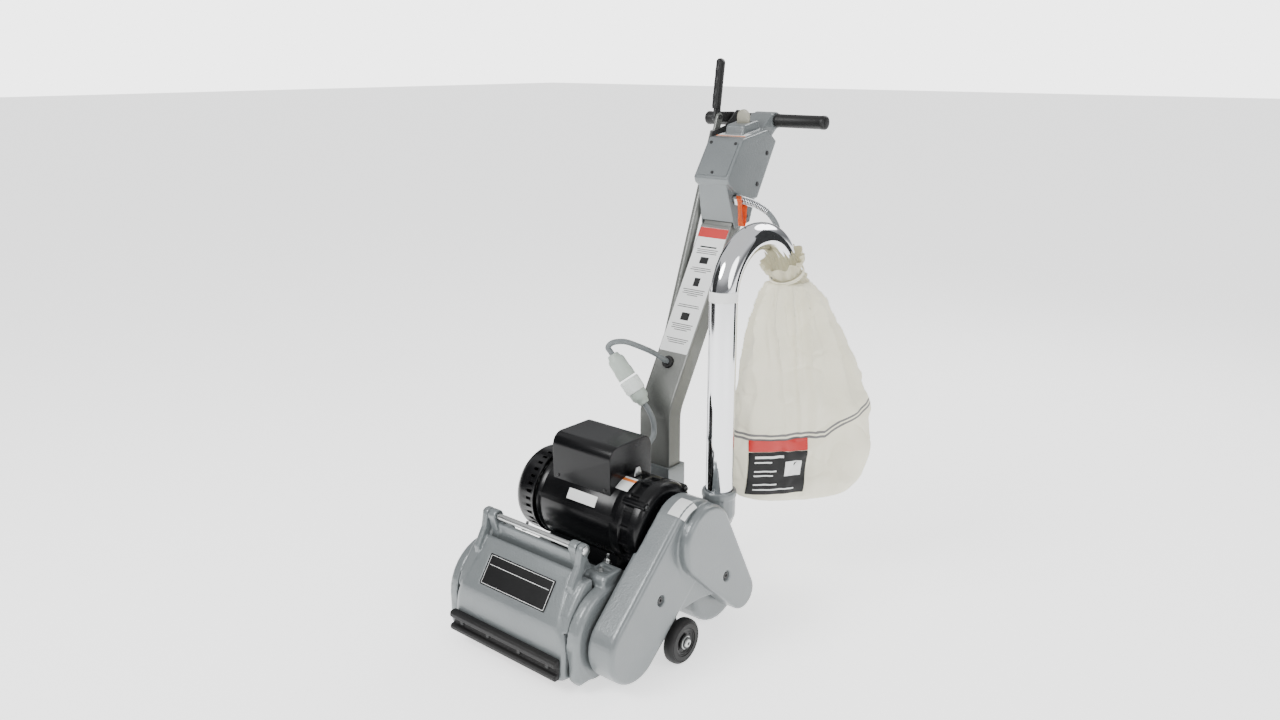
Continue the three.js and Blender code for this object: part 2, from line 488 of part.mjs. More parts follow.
// Square at the blower's neck, round at the pipe: the casting leans out to the pipe's line.
function outletDuct() {
  const z0 = SCROLL.z + 92 + GAP, n = 20;
  const ring = (z, grow, shrink) => {
    const t = THREE.MathUtils.smoothstep(z, z0, 226);
    const cx = THREE.MathUtils.lerp((SCROLL.x0 + 2 + SCROLL.x1) / 2, PIPE.x, t);
    const cy = THREE.MathUtils.lerp(SCROLL.y, PIPE.y, t);
    const hx = THREE.MathUtils.lerp(36.5, 31, t) - shrink + grow;
    const hy = THREE.MathUtils.lerp(28, 31, t) - shrink + grow;
    const power = THREE.MathUtils.lerp(0.25, 1, t);
    return Array.from({ length: n }, (_, k) => {
      const a = 2 * Math.PI * k / n, c = Math.cos(a), s = Math.sin(a);
      return [cx + hx * Math.sign(c) * Math.abs(c) ** power,
        cy + hy * Math.sign(s) * Math.abs(s) ** power, z];
    });
  };
  const outer = loft([ring(z0, 0, 0), ring(z0 + 16, 0, 0), ring(z0 + 32, 0, 0), ring(226, 0, 0),
    ring(262, 0, 0), ring(263, 1.6, 0), ring(272, 1.6, 0), ring(276, 0, 0)]);
  const inner = loft([ring(z0 - 2, 0, 5), ring(z0 + 16, 0, 5), ring(z0 + 32, 0, 5),
    ring(230, 0, 7.5), ring(234, 0, 7.5)]);
  return cut(outer, inner, rodZ(PIPE.x, PIPE.y, PIPE.r + 0.8, 233, 290, 24));
}
add('outlet_duct', outletDuct(), 'enamel');

// The pipe climbs, turns over backwards and points down into the bag's neck.
function pipePath(extra = 0) {
  const path = new THREE.CurvePath();
  const p = (y, z) => new THREE.Vector3(PIPE.x, y, z);
  const cy = PIPE.y + PIPE.bendR;
  const at = (a) => p(cy - PIPE.bendR * Math.cos(a), PIPE.zBend + PIPE.bendR * Math.sin(a));
  const points = [p(PIPE.y, PIPE.z0 - extra)];
  for (let k = 0; k <= 10; k++) points.push(at(PIPE.turn * k / 10));
  const end = at(PIPE.turn), dir = new THREE.Vector3(0, Math.sin(PIPE.turn), Math.cos(PIPE.turn));
  points.push(end.clone().addScaledVector(dir, PIPE.tail + extra));
  for (let k = 1; k < points.length; k++) path.add(new THREE.LineCurve3(points[k - 1], points[k]));
  return { points, path };
}

// A round tube of radius r swept through the pipe's points, ring by ring, in the pipe's own plane.
function sweep(points, r, n = 16) {
  const rings = points.map((p, k) => {
    const a = points[Math.max(k - 1, 0)], b = points[Math.min(k + 1, points.length - 1)];
    const t = new THREE.Vector3().subVectors(b, a).normalize();
    const u = new THREE.Vector3(1, 0, 0), v = new THREE.Vector3().crossVectors(t, u);
    return Array.from({ length: n }, (_, i) => {
      const w = 2 * Math.PI * i / n;
      return p.clone().addScaledVector(u, r * Math.cos(w)).addScaledVector(v, r * Math.sin(w)).toArray();
    });
  });
  return loft(rings);
}
add('dust_pipe', cut(sweep(pipePath().points, PIPE.r), sweep(pipePath(4).points, PIPE.r - PIPE.wall)),
  'chrome');

// ---------------------------------------------------------------- dust bag
// Soft solid: the neck is gathered round the pipe's end and the filled body hangs below it.
function bag() {
  const n = 20;
  const turn = 50 * RAD;                                 // heading of the wide side
  const wide = new THREE.Vector3(Math.cos(turn), Math.sin(turn), 0);
  const pipeEnd = pipePath().points.at(-1), before = pipePath().points.at(-2);
  const along = new THREE.Vector3().subVectors(pipeEnd, before).normalize();
  const neck = before.clone().lerp(pipeEnd, 0.1);
  // [centre x, y, z, half width, half thickness, tilt towards the pipe's line 0..1, squareness]
  const levels = [
    [212, 520, 190, 96, 22, 0, 0.8], [212, 520, 200, 124, 50, 0, 0.75], [212, 521, 232, 139, 70, 0, 0.78],
    [212, 522, 290, 146, 80, 0, 0.8], [212, 521, 345, 147, 82, 0, 0.82], [211, 517, 410, 140, 80, 0.05, 0.85],
    [209, 510, 480, 124, 74, 0.12, 0.9], [205, 500, 545, 99, 66, 0.25, 0.95],
    [200, 490, 600, 70, 54, 0.45, 1],
    [196, 480, 640, 46, 43, 0.8, 1], [194, neck.y + along.y * 26, neck.z + along.z * 26, 34, 34, 1, 1],
    [194, neck.y + along.y * 6, neck.z + along.z * 6, 31, 31, 1, 1],
    [194, neck.y - along.y * 14, neck.z - along.z * 14, 37, 37, 1, 1]];
  const rings = levels.map(([cx, cy, cz, a, b, tilt, sq]) => {
    const up = new THREE.Vector3(0, 0, 1).lerp(along.clone().negate(), tilt).normalize();
    const u = wide.clone().addScaledVector(up, -wide.dot(up)).normalize();
    const v = new THREE.Vector3().crossVectors(up, u);
    return Array.from({ length: n }, (_, k) => {
      const w = 2 * Math.PI * k / n, c = Math.cos(w), s = Math.sin(w);
      return new THREE.Vector3(cx, cy, cz).addScaledVector(u, a * Math.sign(c) * Math.abs(c) ** sq)
        .addScaledVector(v, b * Math.sign(s) * Math.abs(s) ** sq).toArray();
    });
  });
  const pocket = sweep(pipePath(6).points, PIPE.r + 0.8);
  return cut(loft(rings), pocket);
}
add('dust_bag', bag(), 'canvas');

// ---------------------------------------------------------------- wheel truck
// A cradle pivoted inside the end bays carries the wheels; its tail arm is worked by the lift rod.
function truck() {
  const parts = [box(-205, 205, 108, 126, 60, 78)];
  for (const s of sides) {
    const [a0, a1] = spanX(s, TRUCK.armX0, TRUCK.armX1);
    parts.push(plate(band([TRUCK.y, TRUCK.z], 13, [117, 69], 9, 8), a0, a1));
    const [d0, d1] = spanX(s, 197, 209);
    parts.push(plate(band([WHEEL.y, WHEEL.z], 13, [117, 72], 11, 8), d0, d1));
  }
  parts.push(plate(band([118, 69], 9, [LINK.lowY, LINK.lowZ], 10, 8), -76, -67));
  parts.push(rodX(LINK.lowY, LINK.lowZ, LINK.pinR, -72, -50, 16));
  parts.push(rodX(LINK.lowY, LINK.lowZ, 12.5, -50.5, -48, 20));
  const bores = [rodX(WHEEL.y, WHEEL.z, 8 + GAP, -220, 220, 20)];
  for (const s of sides) {
    const [a0, a1] = spanX(s, TRUCK.armX0 - 2, TRUCK.armX1 + 2);
    bores.push(rodX(TRUCK.y, TRUCK.z, TRUCK.pinR + GAP, a0, a1, 20));
  }
  return cut(join(...parts), ...bores);
}
add('wheel_truck', truck(), 'darkSteel');
add('wheel_axle', turned([[0, -246], [5, -246], [8, -244], [8, 244], [5, 246], [0, 246]],
  WHEEL.y, WHEEL.z, 24), 'steel');
for (const s of sides) {
  const side = s > 0 ? 'right' : 'left';
  const at = (r, x) => [r, s * x];
  add(`wheel_hub_${side}`, turned([[8 + GAP, 213], [14, 213], [14, 217], [WHEEL.hubR, 219],
    [WHEEL.hubR, 237], [22, 237], [22, 235], [15, 235], [15, 242], [8 + GAP, 242], [8 + GAP, 213]]
    .map(([r, x]) => at(r, x)), WHEEL.y, WHEEL.z, 16), 'plateBlack');
  add(`wheel_tyre_${side}`, turned([[WHEEL.hubR + GAP, WHEEL.x0], [38, WHEEL.x0], [WHEEL.r, WHEEL.x0 + 4],
    [WHEEL.r, WHEEL.x1 - 4], [38, WHEEL.x1], [WHEEL.hubR + GAP, WHEEL.x1], [WHEEL.hubR + GAP, WHEEL.x0]]
    .map(([r, x]) => at(r, x)), WHEEL.y, WHEEL.z, 28), 'rubber');
}

// ---------------------------------------------------------------- rear caster
const caster = { y: CASTER.y + CASTER.trail, z: CASTER.r };
function casterFork() {
  const crown = box(-20, 20, CASTER.y - 16, caster.y + 12, 78, 84);
  const stem = rodZ(0, CASTER.y, 9 - GAP, 82, DECK.z0 + 12);
  const race = rodZ(0, CASTER.y, 19, 82, DECK.z0 - 2, 16);
  const legs = sides.map((s) => plate([...arc(caster.y, caster.z, 9, 200, 360, 8), [caster.y + 12, 79],
    [CASTER.y - 12, 79]], s * 18 - 2, s * 18 + 2));
  return join(crown, stem, race, ...legs, rodX(caster.y, caster.z, 4, -20, 20, 16));
}
add('caster_fork', casterFork(), 'steel');
add('caster_wheel', turned([[4 + GAP, -13], [9, -13], [CASTER.r - 2, -CASTER.half],
  [CASTER.r, -CASTER.half + 3], [CASTER.r, CASTER.half - 3], [CASTER.r - 2, CASTER.half], [9, 13],
  [4 + GAP, 13], [4 + GAP, -13]], caster.y, caster.z, 20), 'rubber');

// ---------------------------------------------------------------- lift lever and rod
// Pulling the lever back raises the rod, which swings the truck's wheels up and lowers the drum.
const linkTop = [LINK.topY, LINK.topZ], linkLow = [LINK.lowY, LINK.lowZ];
const along = ([y0, z0], [y1, z1], s) => {
  const d = Math.hypot(y1 - y0, z1 - z0);
  return [y0 + (y1 - y0) * s / d, z0 + (z1 - z0) * s / d];
};
function liftRod() {
  const a = along(linkLow, linkTop, 22), b = along(linkTop, linkLow, 30);
  const bar = spindle([[0, 0], [LINK.r, 0], [LINK.r, Math.hypot(b[0] - a[0], b[1] - a[1])],
    [0, Math.hypot(b[0] - a[0], b[1] - a[1])]], [LINK.x, ...a], [LINK.x, ...b], 20);
  const top = plate(band(linkTop, 9, along(linkTop, linkLow, 34), 9, 8), -57.4, -51.4);
  const eye = plate(band(linkLow, LINK.eyeR + 5.5, along(linkLow, linkTop, 26), 9, 12), -62.5, -55);
  return cut(join(bar, top, eye), rodX(LINK.topY, LINK.topZ, LINK.pinR + GAP, -70, -40, 16),
    rodX(LINK.lowY, LINK.lowZ, LINK.eyeR, -70, -40, 24), box(-58, -40, LINK.topY - 40, LINK.topY + 40,
      LINK.topZ - 29, LINK.topZ + 30).subtract(box(-57.4, -51.4, LINK.topY - 60, LINK.topY + 60,
      LINK.topZ - 60, LINK.topZ + 60)));
}
add('lift_rod', liftRod(), 'postEnamel');

const leverTop = [602, 1046], gripLow = [588, 946];
function liftLever() {
  const arm = plate(band([LEVER.y, LEVER.z], 11, linkTop, 11, 10), LEVER.x0, LEVER.x1);
  const stem = plate(band(linkTop, 10, along(gripLow, leverTop, 70), 7, 8), LEVER.x0, LEVER.x1);
  return cut(join(arm, stem), rodX(LEVER.y, LEVER.z, 5 + GAP, -70, -50, 20),
    rodX(LINK.topY, LINK.topZ, LINK.pinR + GAP, -70, -50, 16));
}
add('lift_lever', liftLever(), 'darkSteel');

function leverGrip() {
  const axis = [leverTop[0] - gripLow[0], leverTop[1] - gripLow[1]];
  const len = Math.hypot(...axis), t = [axis[0] / len, axis[1] / len], n = [-t[1], t[0]];
  const at = (s, w) => [gripLow[0] + t[0] * s + n[0] * w, gripLow[1] + t[1] * s + n[1] * w];
  const front = [];
  for (let k = 0; k <= 16; k++) {
    const s = len * k / 16;
    front.push(at(s, 11.5 - 1.8 * Math.abs(Math.sin(Math.PI * s / 25))));
  }
  const outline = [...front, at(len + 6, 5), at(len + 2, -8), at(len - 6, -10.5), at(0, -10)];
  const body = plate(outline, LEVER.x0 - 4.5, LEVER.x1 + 4.5, 3, 2);
  const pocket = plate(band(linkTop, 10 + GAP, along(gripLow, leverTop, 70), 7 + GAP, 8),
    LEVER.x0 - GAP, LEVER.x1 + GAP);
  return cut(body, pocket);
}
add('lever_grip', leverGrip(), 'grip');
add('lever_bracket', plate([[548, 884], [606, 884], [662, 914], [660, 940], [640, 942], [600, 912],
  [552, 902]], -46.5, -42.6), 'darkSteel');
add('lever_pivot_bolt', turned([[0, -72], [7, -72], [8.5, -70.5], [8.5, LEVER.x0 - GAP], [5, LEVER.x0 - GAP],
  [5, -57], [10, -57], [10, -46.8], [0, -46.8]], LEVER.y, LEVER.z, 20), 'steel');
add('rod_clevis_pin', turned([[0, -70.5], [5, -70.5], [7, -69], [7, LEVER.x0 - GAP],
  [LINK.pinR, LEVER.x0 - GAP], [LINK.pinR, -48.5], [0, -48.5]], LINK.topY, LINK.topZ, 20), 'steel');

// ---------------------------------------------------------------- handle post
// A rectangular tube stands in the frame's socket, bends back and carries the switch housing.
const lean = [Math.sin(POST.lean), Math.cos(POST.lean)];
function postOutline(depth, low, top) {
  const run = POST.bendR * Math.tan(POST.lean / 2);
  const cz = POST.kinkZ - run, cy = POST.y + POST.bendR;
  const h = depth / 2;
  const side = (w) => {
    const pts = [[POST.y + w, low]];
    for (let k = 0; k <= 6; k++) {
      const a = POST.lean * k / 6, r = POST.bendR - w;
      pts.push([cy - r * Math.cos(a), cz + r * Math.sin(a)]);
    }
    pts.push([POST.y + lean[0] * top + w * lean[1], POST.kinkZ + lean[1] * top - w * lean[0]]);
    return pts;
  };
  return [...side(-h), ...side(h).reverse()];
}
// A strip of the post's leaning part, between two distances from the kink.
const leanStrip = (depth, s0, s1) => [[s0, -1], [s0, 1], [s1, 1], [s1, -1]].map(([s, side]) => [
  POST.y + lean[0] * s + side * lean[1] * depth / 2,
  POST.kinkZ + lean[1] * s - side * lean[0] * depth / 2]);
add('handle_post', cut(plate(postOutline(POST.depth, POST.z0, POST.up), -POST.half, POST.half, 2, 2),
  plate(postOutline(POST.depth - 2 * POST.wall, POST.z0 - 5, POST.up + 5), -POST.half + POST.wall,
    POST.half - POST.wall), spindle([[0, 0], [9 + GAP, 0], [9 + GAP, 30], [0, 30]], [-3, 352, 470],
    [-3, 372, 458.5], 20)), 'postEnamel');
for (const [k, z] of [240, 214].entries()) {
  add(k ? 'clamp_bolt_lower' : 'clamp_bolt_upper',
    spindle([[0, GAP], [8, GAP], [8, 6], [0, 6]], [0, 361.5, z], [0, 380, z], 6), 'steel');
}

// ---------------------------------------------------------------- switch housing and handlebar
// A cast box closes the post's top: a tapered neck, a deep head and a boss round the handlebar.
function housing() {
  const quad = (x, f, r, z, zr) => [[-x, f, z], [x, f, z], [x, r, zr], [-x, r, zr]];
  const neck = loft([quad(42, 519, 571, 716, 724), quad(34, 493, 606, 812, 784)]);
  const head = plate([[489, 817], [493, 806], [550, 766], [597, 770], [661, 881], [628, 906], [539, 892]],
    -42, 42, 2.5, 2);
  const block = plate([[566, 894], [570, 914], [574, 917], [618, 924], [624, 921], [628, 900]],
    -22, 22, 2, 2);
  const arm = plate([[622, 903], [656, 880], [690, 908], [664, 937]], -24, 27, 3, 2);
  const boss = rodX(BAR.y, BAR.z, 17.5, -22, 28, 24);
  let body = join(neck, head, block, arm, boss);
  const cavity = plate([[499, 817], [505, 806], [552, 776], [590, 780], [644, 876], [620, 894],
    [545, 884]], -37, 37);
  const sleeve = plate(leanStrip(POST.depth + 2 * GAP, 250, POST.up + 22),
    -POST.half - GAP, POST.half + GAP);
  return cut(body, cavity, sleeve, rodX(BAR.y, BAR.z, BAR.r + GAP, -60, 60, 28),
    plate([[592, 885], [592, 930], [607, 930], [607, 885]], -16.5, 16.5),
    rodX(523, 774, 8 + GAP, 25, 60, 20));
}
add('switch_housing', housing(), 'enamel');

const PADDLE = { y: 599.5, z: 912, r: 15 };
add('switch_paddle', join(
  box(-PADDLE.r, PADDLE.r, PADDLE.y - 3.5, PADDLE.y + 3.5, PADDLE.z - 7, PADDLE.z + 19),
  solid(new THREE.CylinderGeometry(PADDLE.r, PADDLE.r, 7, 32).translate(0, PADDLE.y, PADDLE.z + 19))),
'beige');

add('handlebar', rodX(BAR.y, BAR.z, BAR.r, -BAR.half + 5, BAR.half - 5, 28), 'steel');
for (const s of sides) {
  const inner = s > 0 ? 30 : 24;
  const grip = turned([[0, s * BAR.half], [BAR.gripR - 3, s * BAR.half], [BAR.gripR, s * (BAR.half - 3)],
    [BAR.gripR, s * (inner + 2)], [BAR.gripR - 1.5, s * inner], [0, s * inner]], BAR.y, BAR.z, 20);
  const [b0, b1] = spanX(s, inner - 3, BAR.half - 5 + GAP);
  add(s > 0 ? 'grip_right' : 'grip_left', cut(grip, rodX(BAR.y, BAR.z, BAR.r + 0.5, b0, b1, 16)), 'grip');
}

// ---------------------------------------------------------------- motor cable with its connector
const grommet = { from: [-3, 359, 466], to: [-3, 374, 457.3] };
add('cable_grommet', cut(spindle([[0, -5.5], [12, -5.5], [13, -3.5], [13, -0.5], [8.7, -0.5], [8.7, 7],
  [0, 7]], [-3, 363.7, 463.2], grommet.to, 14), spindle([[0, -20], [CORD + 1, -20], [CORD + 1, 20], [0, 20]],
  [-3, 363.7, 463.2], grommet.to, 12)), 'rubber');
const plugTop = [-57, 256, 493], plugLow = [8, 276, 401], plugMid = [-24.5, 266, 447];
add('connector_socket', cut(spindle([[0, 0], [12, 0], [15, 4], [17, 12], [17, 54], [0, 54]],
  plugTop, plugLow, 14), spindle([[0, -5], [CORD + 1, -5], [CORD + 1, 24], [0, 24]], plugTop, plugLow, 14)),
'plug');
add('connector_plug', cut(spindle([[0, 0], [11, 0], [14, 3], [17, 12], [18, 30], [18, 59.5], [0, 59.5]],
  plugLow, plugTop, 14), spindle([[0, -5], [CORD + 1, -5], [CORD + 1, 24], [0, 24]], plugLow, plugTop, 14)),
'plug');
add('control_cable', cable([[-3, 361, 465], [-4, 350, 472], [-10, 330, 487], [-24, 300, 505], [-44, 275, 517],
  [-60, 258, 514.5], [-65.6, 253.3, 505.5], [-61.5, 254.6, 499.4], [-52.5, 257.4, 486.6],
  [-47.9, 258.8, 480.1]], CORD, 20), 'cable');
add('motor_cable', cable([[2, 274.2, 409.5], [6.5, 275.5, 403], [15, 279, 390], [23, 284, 368],
  [26, 284, 345], [28, 277, 335], [28, 260, 323.5], [28, 236, 320], [28, 208.5, 320]], CORD, 18), 'cable');

// ---------------------------------------------------------------- supply lead
add('supply_gland', cut(spindle([[0, 0], [8, 0], [8, 7.5], [12, 7.5], [12, 15], [9, 17], [9, 22], [0, 22]],
  [35.2, 523, 774], [80, 526, 772], 12), spindle([[0, -5], [CORD + 1, -5], [CORD + 1, 40], [0, 40]],
  [35.2, 523, 774], [80, 526, 772], 12)), 'steel');
add('supply_cord', cable([[37, 523.1, 773.9], [60, 524.7, 772.9], [86, 530, 766], [110, 538, 750],
  [124, 548, 722], [116, 560, 680], [104, 570, 630], [98, 574, 560], [96, 575, 480], [96, 575, 372]],
CORD, 30), 'cable');
add('supply_plug', cut(spindle([[0, 0], [10, 0], [13, 6], [16, 22], [17, 44], [0, 44]],
  [96, 575, 384], [96, 575, 300], 14), spindle([[0, -5], [CORD + 1, -5], [CORD + 1, 14], [0, 14]],
  [96, 575, 384], [96, 575, 300], 14)), 'plug');

export default sander;
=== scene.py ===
import math

import bmesh
import bpy
from mathutils import Matrix, Vector, bvhtree, noise


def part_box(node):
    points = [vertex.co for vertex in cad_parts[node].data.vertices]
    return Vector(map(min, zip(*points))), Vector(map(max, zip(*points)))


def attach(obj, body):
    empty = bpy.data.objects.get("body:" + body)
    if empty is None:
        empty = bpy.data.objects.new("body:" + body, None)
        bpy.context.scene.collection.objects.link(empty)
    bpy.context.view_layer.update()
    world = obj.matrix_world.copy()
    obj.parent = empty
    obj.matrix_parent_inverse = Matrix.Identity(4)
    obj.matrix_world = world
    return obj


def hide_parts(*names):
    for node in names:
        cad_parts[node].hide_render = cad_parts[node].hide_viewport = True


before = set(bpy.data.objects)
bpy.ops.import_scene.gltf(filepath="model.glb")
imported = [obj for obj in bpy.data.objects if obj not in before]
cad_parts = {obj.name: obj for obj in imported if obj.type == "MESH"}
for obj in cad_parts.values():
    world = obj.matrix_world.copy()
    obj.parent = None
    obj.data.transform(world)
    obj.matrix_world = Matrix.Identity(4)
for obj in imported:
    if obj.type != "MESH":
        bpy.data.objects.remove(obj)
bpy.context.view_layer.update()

# ---- Size of the machine.
# The drum's axis and the middle of the drum are the home of every measure below.
# at() turns millimetres from there (X along the drum, Y to the rear, Z from the floor) into metres.
drum_low, drum_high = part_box("sanding_drum")
home = Vector(((drum_low.x + drum_high.x) / 2, (drum_low.y + drum_high.y) / 2, 0))


def at(x, y, z):
    return home + Vector((x, y, z)) / 1000


def placed(name, data):
    """A new object that shows this data."""
    made = bpy.data.objects.new(name, data)
    bpy.context.scene.collection.objects.link(made)
    return made


def mesh_of(name, shape):
    """A bmesh shape turned into a mesh; the shape is used up."""
    mesh = bpy.data.meshes.new(name)
    shape.to_mesh(mesh)
    shape.free()
    return mesh


def settled(item):
    """The object as it is after its modifiers and the solver's present frame."""
    return item.evaluated_get(bpy.context.evaluated_depsgraph_get())


# ---- Camera.
# It stands in front of the machine's right-hand corner at standing height and looks slightly down.
camera = placed("camera", bpy.data.cameras.new("camera"))
camera.data.lens, camera.data.sensor_width = 29.25, 36
camera.location = at(1236.7, -1196.5, 1050)
camera.rotation_euler = (math.radians(73.7), 0, math.radians(40.1))
bpy.context.scene.camera = camera

# ---- Studio.
# A plain pale floor, an even white surround, three large soft lamps and three dark cards.
# The surround darkens towards the horizon in reflections only, so bright metal has something to show.
world = bpy.data.worlds.new("studio")
bpy.context.scene.world = world
world.use_nodes = True
sky = world.node_tree
sky.nodes.clear()
sky_out = sky.nodes.new("ShaderNodeOutputWorld")
sky_mix = sky.nodes.new("ShaderNodeMixShader")
plain = sky.nodes.new("ShaderNodeBackground")
plain.inputs["Color"].default_value = (1, 1, 1, 1)
plain.inputs["Strength"].default_value = 4.0
shaded = sky.nodes.new("ShaderNodeBackground")
shaded.inputs["Strength"].default_value = 0.85
ray = sky.nodes.new("ShaderNodeLightPath")
direction = sky.nodes.new("ShaderNodeTexCoord")
height = sky.nodes.new("ShaderNodeSeparateXYZ")
ramp = sky.nodes.new("ShaderNodeValToRGB")
ramp.color_ramp.elements[0].position, ramp.color_ramp.elements[0].color = 0.0, (0.55, 0.56, 0.58, 1)
ramp.color_ramp.elements[1].position, ramp.color_ramp.elements[1].color = 1.0, (1, 1, 1, 1)
for position, level in ((0.08, 0.25), (0.22, 0.35), (0.42, 1.0)):
    stop = ramp.color_ramp.elements.new(position)
    stop.color = (level, level * 1.01, level * 1.03, 1)
sky.links.new(direction.outputs["Generated"], height.inputs[0])
sky.links.new(height.outputs["Z"], ramp.inputs["Fac"])
sky.links.new(ramp.outputs["Color"], shaded.inputs["Color"])
sky.links.new(ray.outputs["Is Camera Ray"], sky_mix.inputs["Fac"])
sky.links.new(shaded.outputs[0], sky_mix.inputs[1])
sky.links.new(plain.outputs[0], sky_mix.inputs[2])
sky.links.new(sky_mix.outputs[0], sky_out.inputs[0])


def lamp(name, place, target, size, power):
    data = bpy.data.lights.new(name, "AREA")
    data.shape, data.size, data.energy = "DISK", size, power
    made = placed(name, data)
    made.location = at(*place)
    made.rotation_euler = (at(*target) - made.location).to_track_quat("-Z", "Y").to_euler()


lamp("key_lamp", (-700, -1900, 2300), (0, 100, 350), 1.3, 70)
lamp("fill_lamp", (2300, -300, 1500), (0, 200, 400), 1.6, 26)
lamp("back_lamp", (300, 2300, 2100), (0, 250, 500), 1.6, 36)

floor_shape = bmesh.new()
bmesh.ops.create_grid(floor_shape, x_segments=1, y_segments=1, size=30)
floor = placed("floor", mesh_of("floor", floor_shape))


def studio_paint(name, tone, rough):
    made = bpy.data.materials.new(name)
    made.use_nodes = True
    body = made.node_tree.nodes["Principled BSDF"]
    body.inputs["Base Color"].default_value = (*tone, 1)
    body.inputs["Roughness"].default_value = rough
    return made, body


pale, pale_body = studio_paint("pale_floor", (0.93, 0.93, 0.93), 0.7)
pale_body.inputs["Emission Color"].default_value = (1, 1, 1, 1)
pale_body.inputs["Emission Strength"].default_value = 1.3
floor.data.materials.append(pale)


# Dark cards stand outside the picture; only mirror-like surfaces see them, as bands along bright metal.
card_black = studio_paint("dark_card", (0.012, 0.013, 0.013), 1.0)[0]
for name, place, wide, tall in (("left_card", (-1700, -1000, 900), 1.9, 2.4),
                                ("far_left_card", (-1900, 900, 900), 0.6, 2.2),
                                ("right_card", (1250, 1750, 900), 0.8, 2.2)):
    card_shape = bmesh.new()
    bmesh.ops.create_grid(card_shape, x_segments=1, y_segments=1, size=0.5)
    facing = (at(190, 270, place[2]) - at(*place)).to_track_quat("Z", "Y").to_matrix().to_4x4()
    bmesh.ops.transform(card_shape, verts=card_shape.verts,
                        matrix=Matrix.Translation(at(*place)) @ facing @ Matrix.Diagonal((wide, tall, 1, 1)))
    card = placed(name, mesh_of(name, card_shape))
    card.data.materials.append(card_black)
    card.visible_camera = card.visible_diffuse = card.visible_shadow = card.visible_transmission = False

# ---- Surface effects shared by the finishes.
# Grain: a fine relief with slow patches of tone, set by the size of its grains and their depth.
# Wear: a mask along the outside edges, broken up so that paint looks rubbed and not outlined.
def effect(name, inputs, outputs):
    group = bpy.data.node_groups.new(name, "ShaderNodeTree")
    for label, start in inputs:
        made = group.interface.new_socket(label, in_out="INPUT", socket_type="NodeSocketFloat")
        made.default_value = start
    for label, kind in outputs:
        group.interface.new_socket(label, in_out="OUTPUT", socket_type=kind)
    return group, group.nodes.new("NodeGroupInput"), group.nodes.new("NodeGroupOutput")


def texture(tree, kind, vector, scale=None, **settings):
    node = tree.nodes.new(kind)
    for key, value in settings.items():
        if hasattr(node, key):
            setattr(node, key, value)
        else:
            node.inputs[key.replace("_", " ")].default_value = value
    tree.links.new(vector, node.inputs["Vector"])
    if scale is not None:
        tree.links.new(scale, node.inputs["Scale"])
    return node


def reckon(tree, operation, *values, clamp=False):
    node = tree.nodes.new("ShaderNodeMath")
    node.operation, node.use_clamp = operation, clamp
    for slot, value in zip(node.inputs, values):
        if isinstance(value, (int, float)):
            slot.default_value = value
        else:
            tree.links.new(value, slot)
    return node.outputs[0]


grain, start, end = effect("grain", (("Scale", 400), ("Depth", 0.2)),
                           (("Speck", "NodeSocketFloat"), ("Patch", "NodeSocketFloat"),
                            ("Normal", "NodeSocketVector")))
place = grain.nodes.new("ShaderNodeTexCoord").outputs["Object"]
speck = texture(grain, "ShaderNodeTexNoise", place, start.outputs["Scale"], Detail=2.0)
patch = texture(grain, "ShaderNodeTexNoise", place, Scale=9.0, Detail=4.0)
relief = grain.nodes.new("ShaderNodeBump")
relief.inputs["Distance"].default_value = 0.0006
grain.links.new(start.outputs["Depth"], relief.inputs["Strength"])
grain.links.new(speck.outputs["Fac"], relief.inputs["Height"])
grain.links.new(speck.outputs["Fac"], end.inputs["Speck"])
grain.links.new(patch.outputs["Fac"], end.inputs["Patch"])
grain.links.new(relief.outputs["Normal"], end.inputs["Normal"])

hammered, start, end = effect("hammered", (("Scale", 300), ("Depth", 0.3)),
                              (("Speck", "NodeSocketFloat"), ("Patch", "NodeSocketFloat"),
                               ("Normal", "NodeSocketVector")))
place = hammered.nodes.new("ShaderNodeTexCoord").outputs["Object"]
cells = texture(hammered, "ShaderNodeTexVoronoi", place, start.outputs["Scale"], feature="SMOOTH_F1")
drift = texture(hammered, "ShaderNodeTexNoise", place, Scale=60.0, Detail=3.0)
patch = texture(hammered, "ShaderNodeTexNoise", place, Scale=7.0, Detail=4.0)
both = reckon(hammered, "MULTIPLY_ADD", drift.outputs["Fac"], 0.5, cells.outputs["Distance"])
relief = hammered.nodes.new("ShaderNodeBump")
relief.inputs["Distance"].default_value = 0.0008
hammered.links.new(start.outputs["Depth"], relief.inputs["Strength"])
hammered.links.new(both, relief.inputs["Height"])
hammered.links.new(cells.outputs["Distance"], end.inputs["Speck"])
hammered.links.new(patch.outputs["Fac"], end.inputs["Patch"])
hammered.links.new(relief.outputs["Normal"], end.inputs["Normal"])

wear, start, end = effect("wear", (("Width", 0.0015), ("Amount", 0.5)), (("Mask", "NodeSocketFloat"),))
place = wear.nodes.new("ShaderNodeTexCoord").outputs["Object"]
eased = wear.nodes.new("ShaderNodeBevel")
eased.samples = 3
wear.links.new(start.outputs["Width"], eased.inputs["Radius"])
true = wear.nodes.new("ShaderNodeNewGeometry")
turned_away = wear.nodes.new("ShaderNodeVectorMath")
turned_away.operation = "DOT_PRODUCT"
wear.links.new(eased.outputs["Normal"], turned_away.inputs[0])
wear.links.new(true.outputs["Normal"], turned_away.inputs[1])
patchy = texture(wear, "ShaderNodeTexNoise", place, Scale=85.0, Detail=5.0)
edge = reckon(wear, "MULTIPLY", reckon(wear, "SUBTRACT", 1.0, turned_away.outputs["Value"]), 5.0, clamp=True)
rubbed = reckon(wear, "MULTIPLY_ADD", patchy.outputs["Fac"], 3.0, -1.35, clamp=True)
wear.links.new(reckon(wear, "MULTIPLY", reckon(wear, "MULTIPLY", edge, rubbed), start.outputs["Amount"]),
               end.inputs["Mask"])


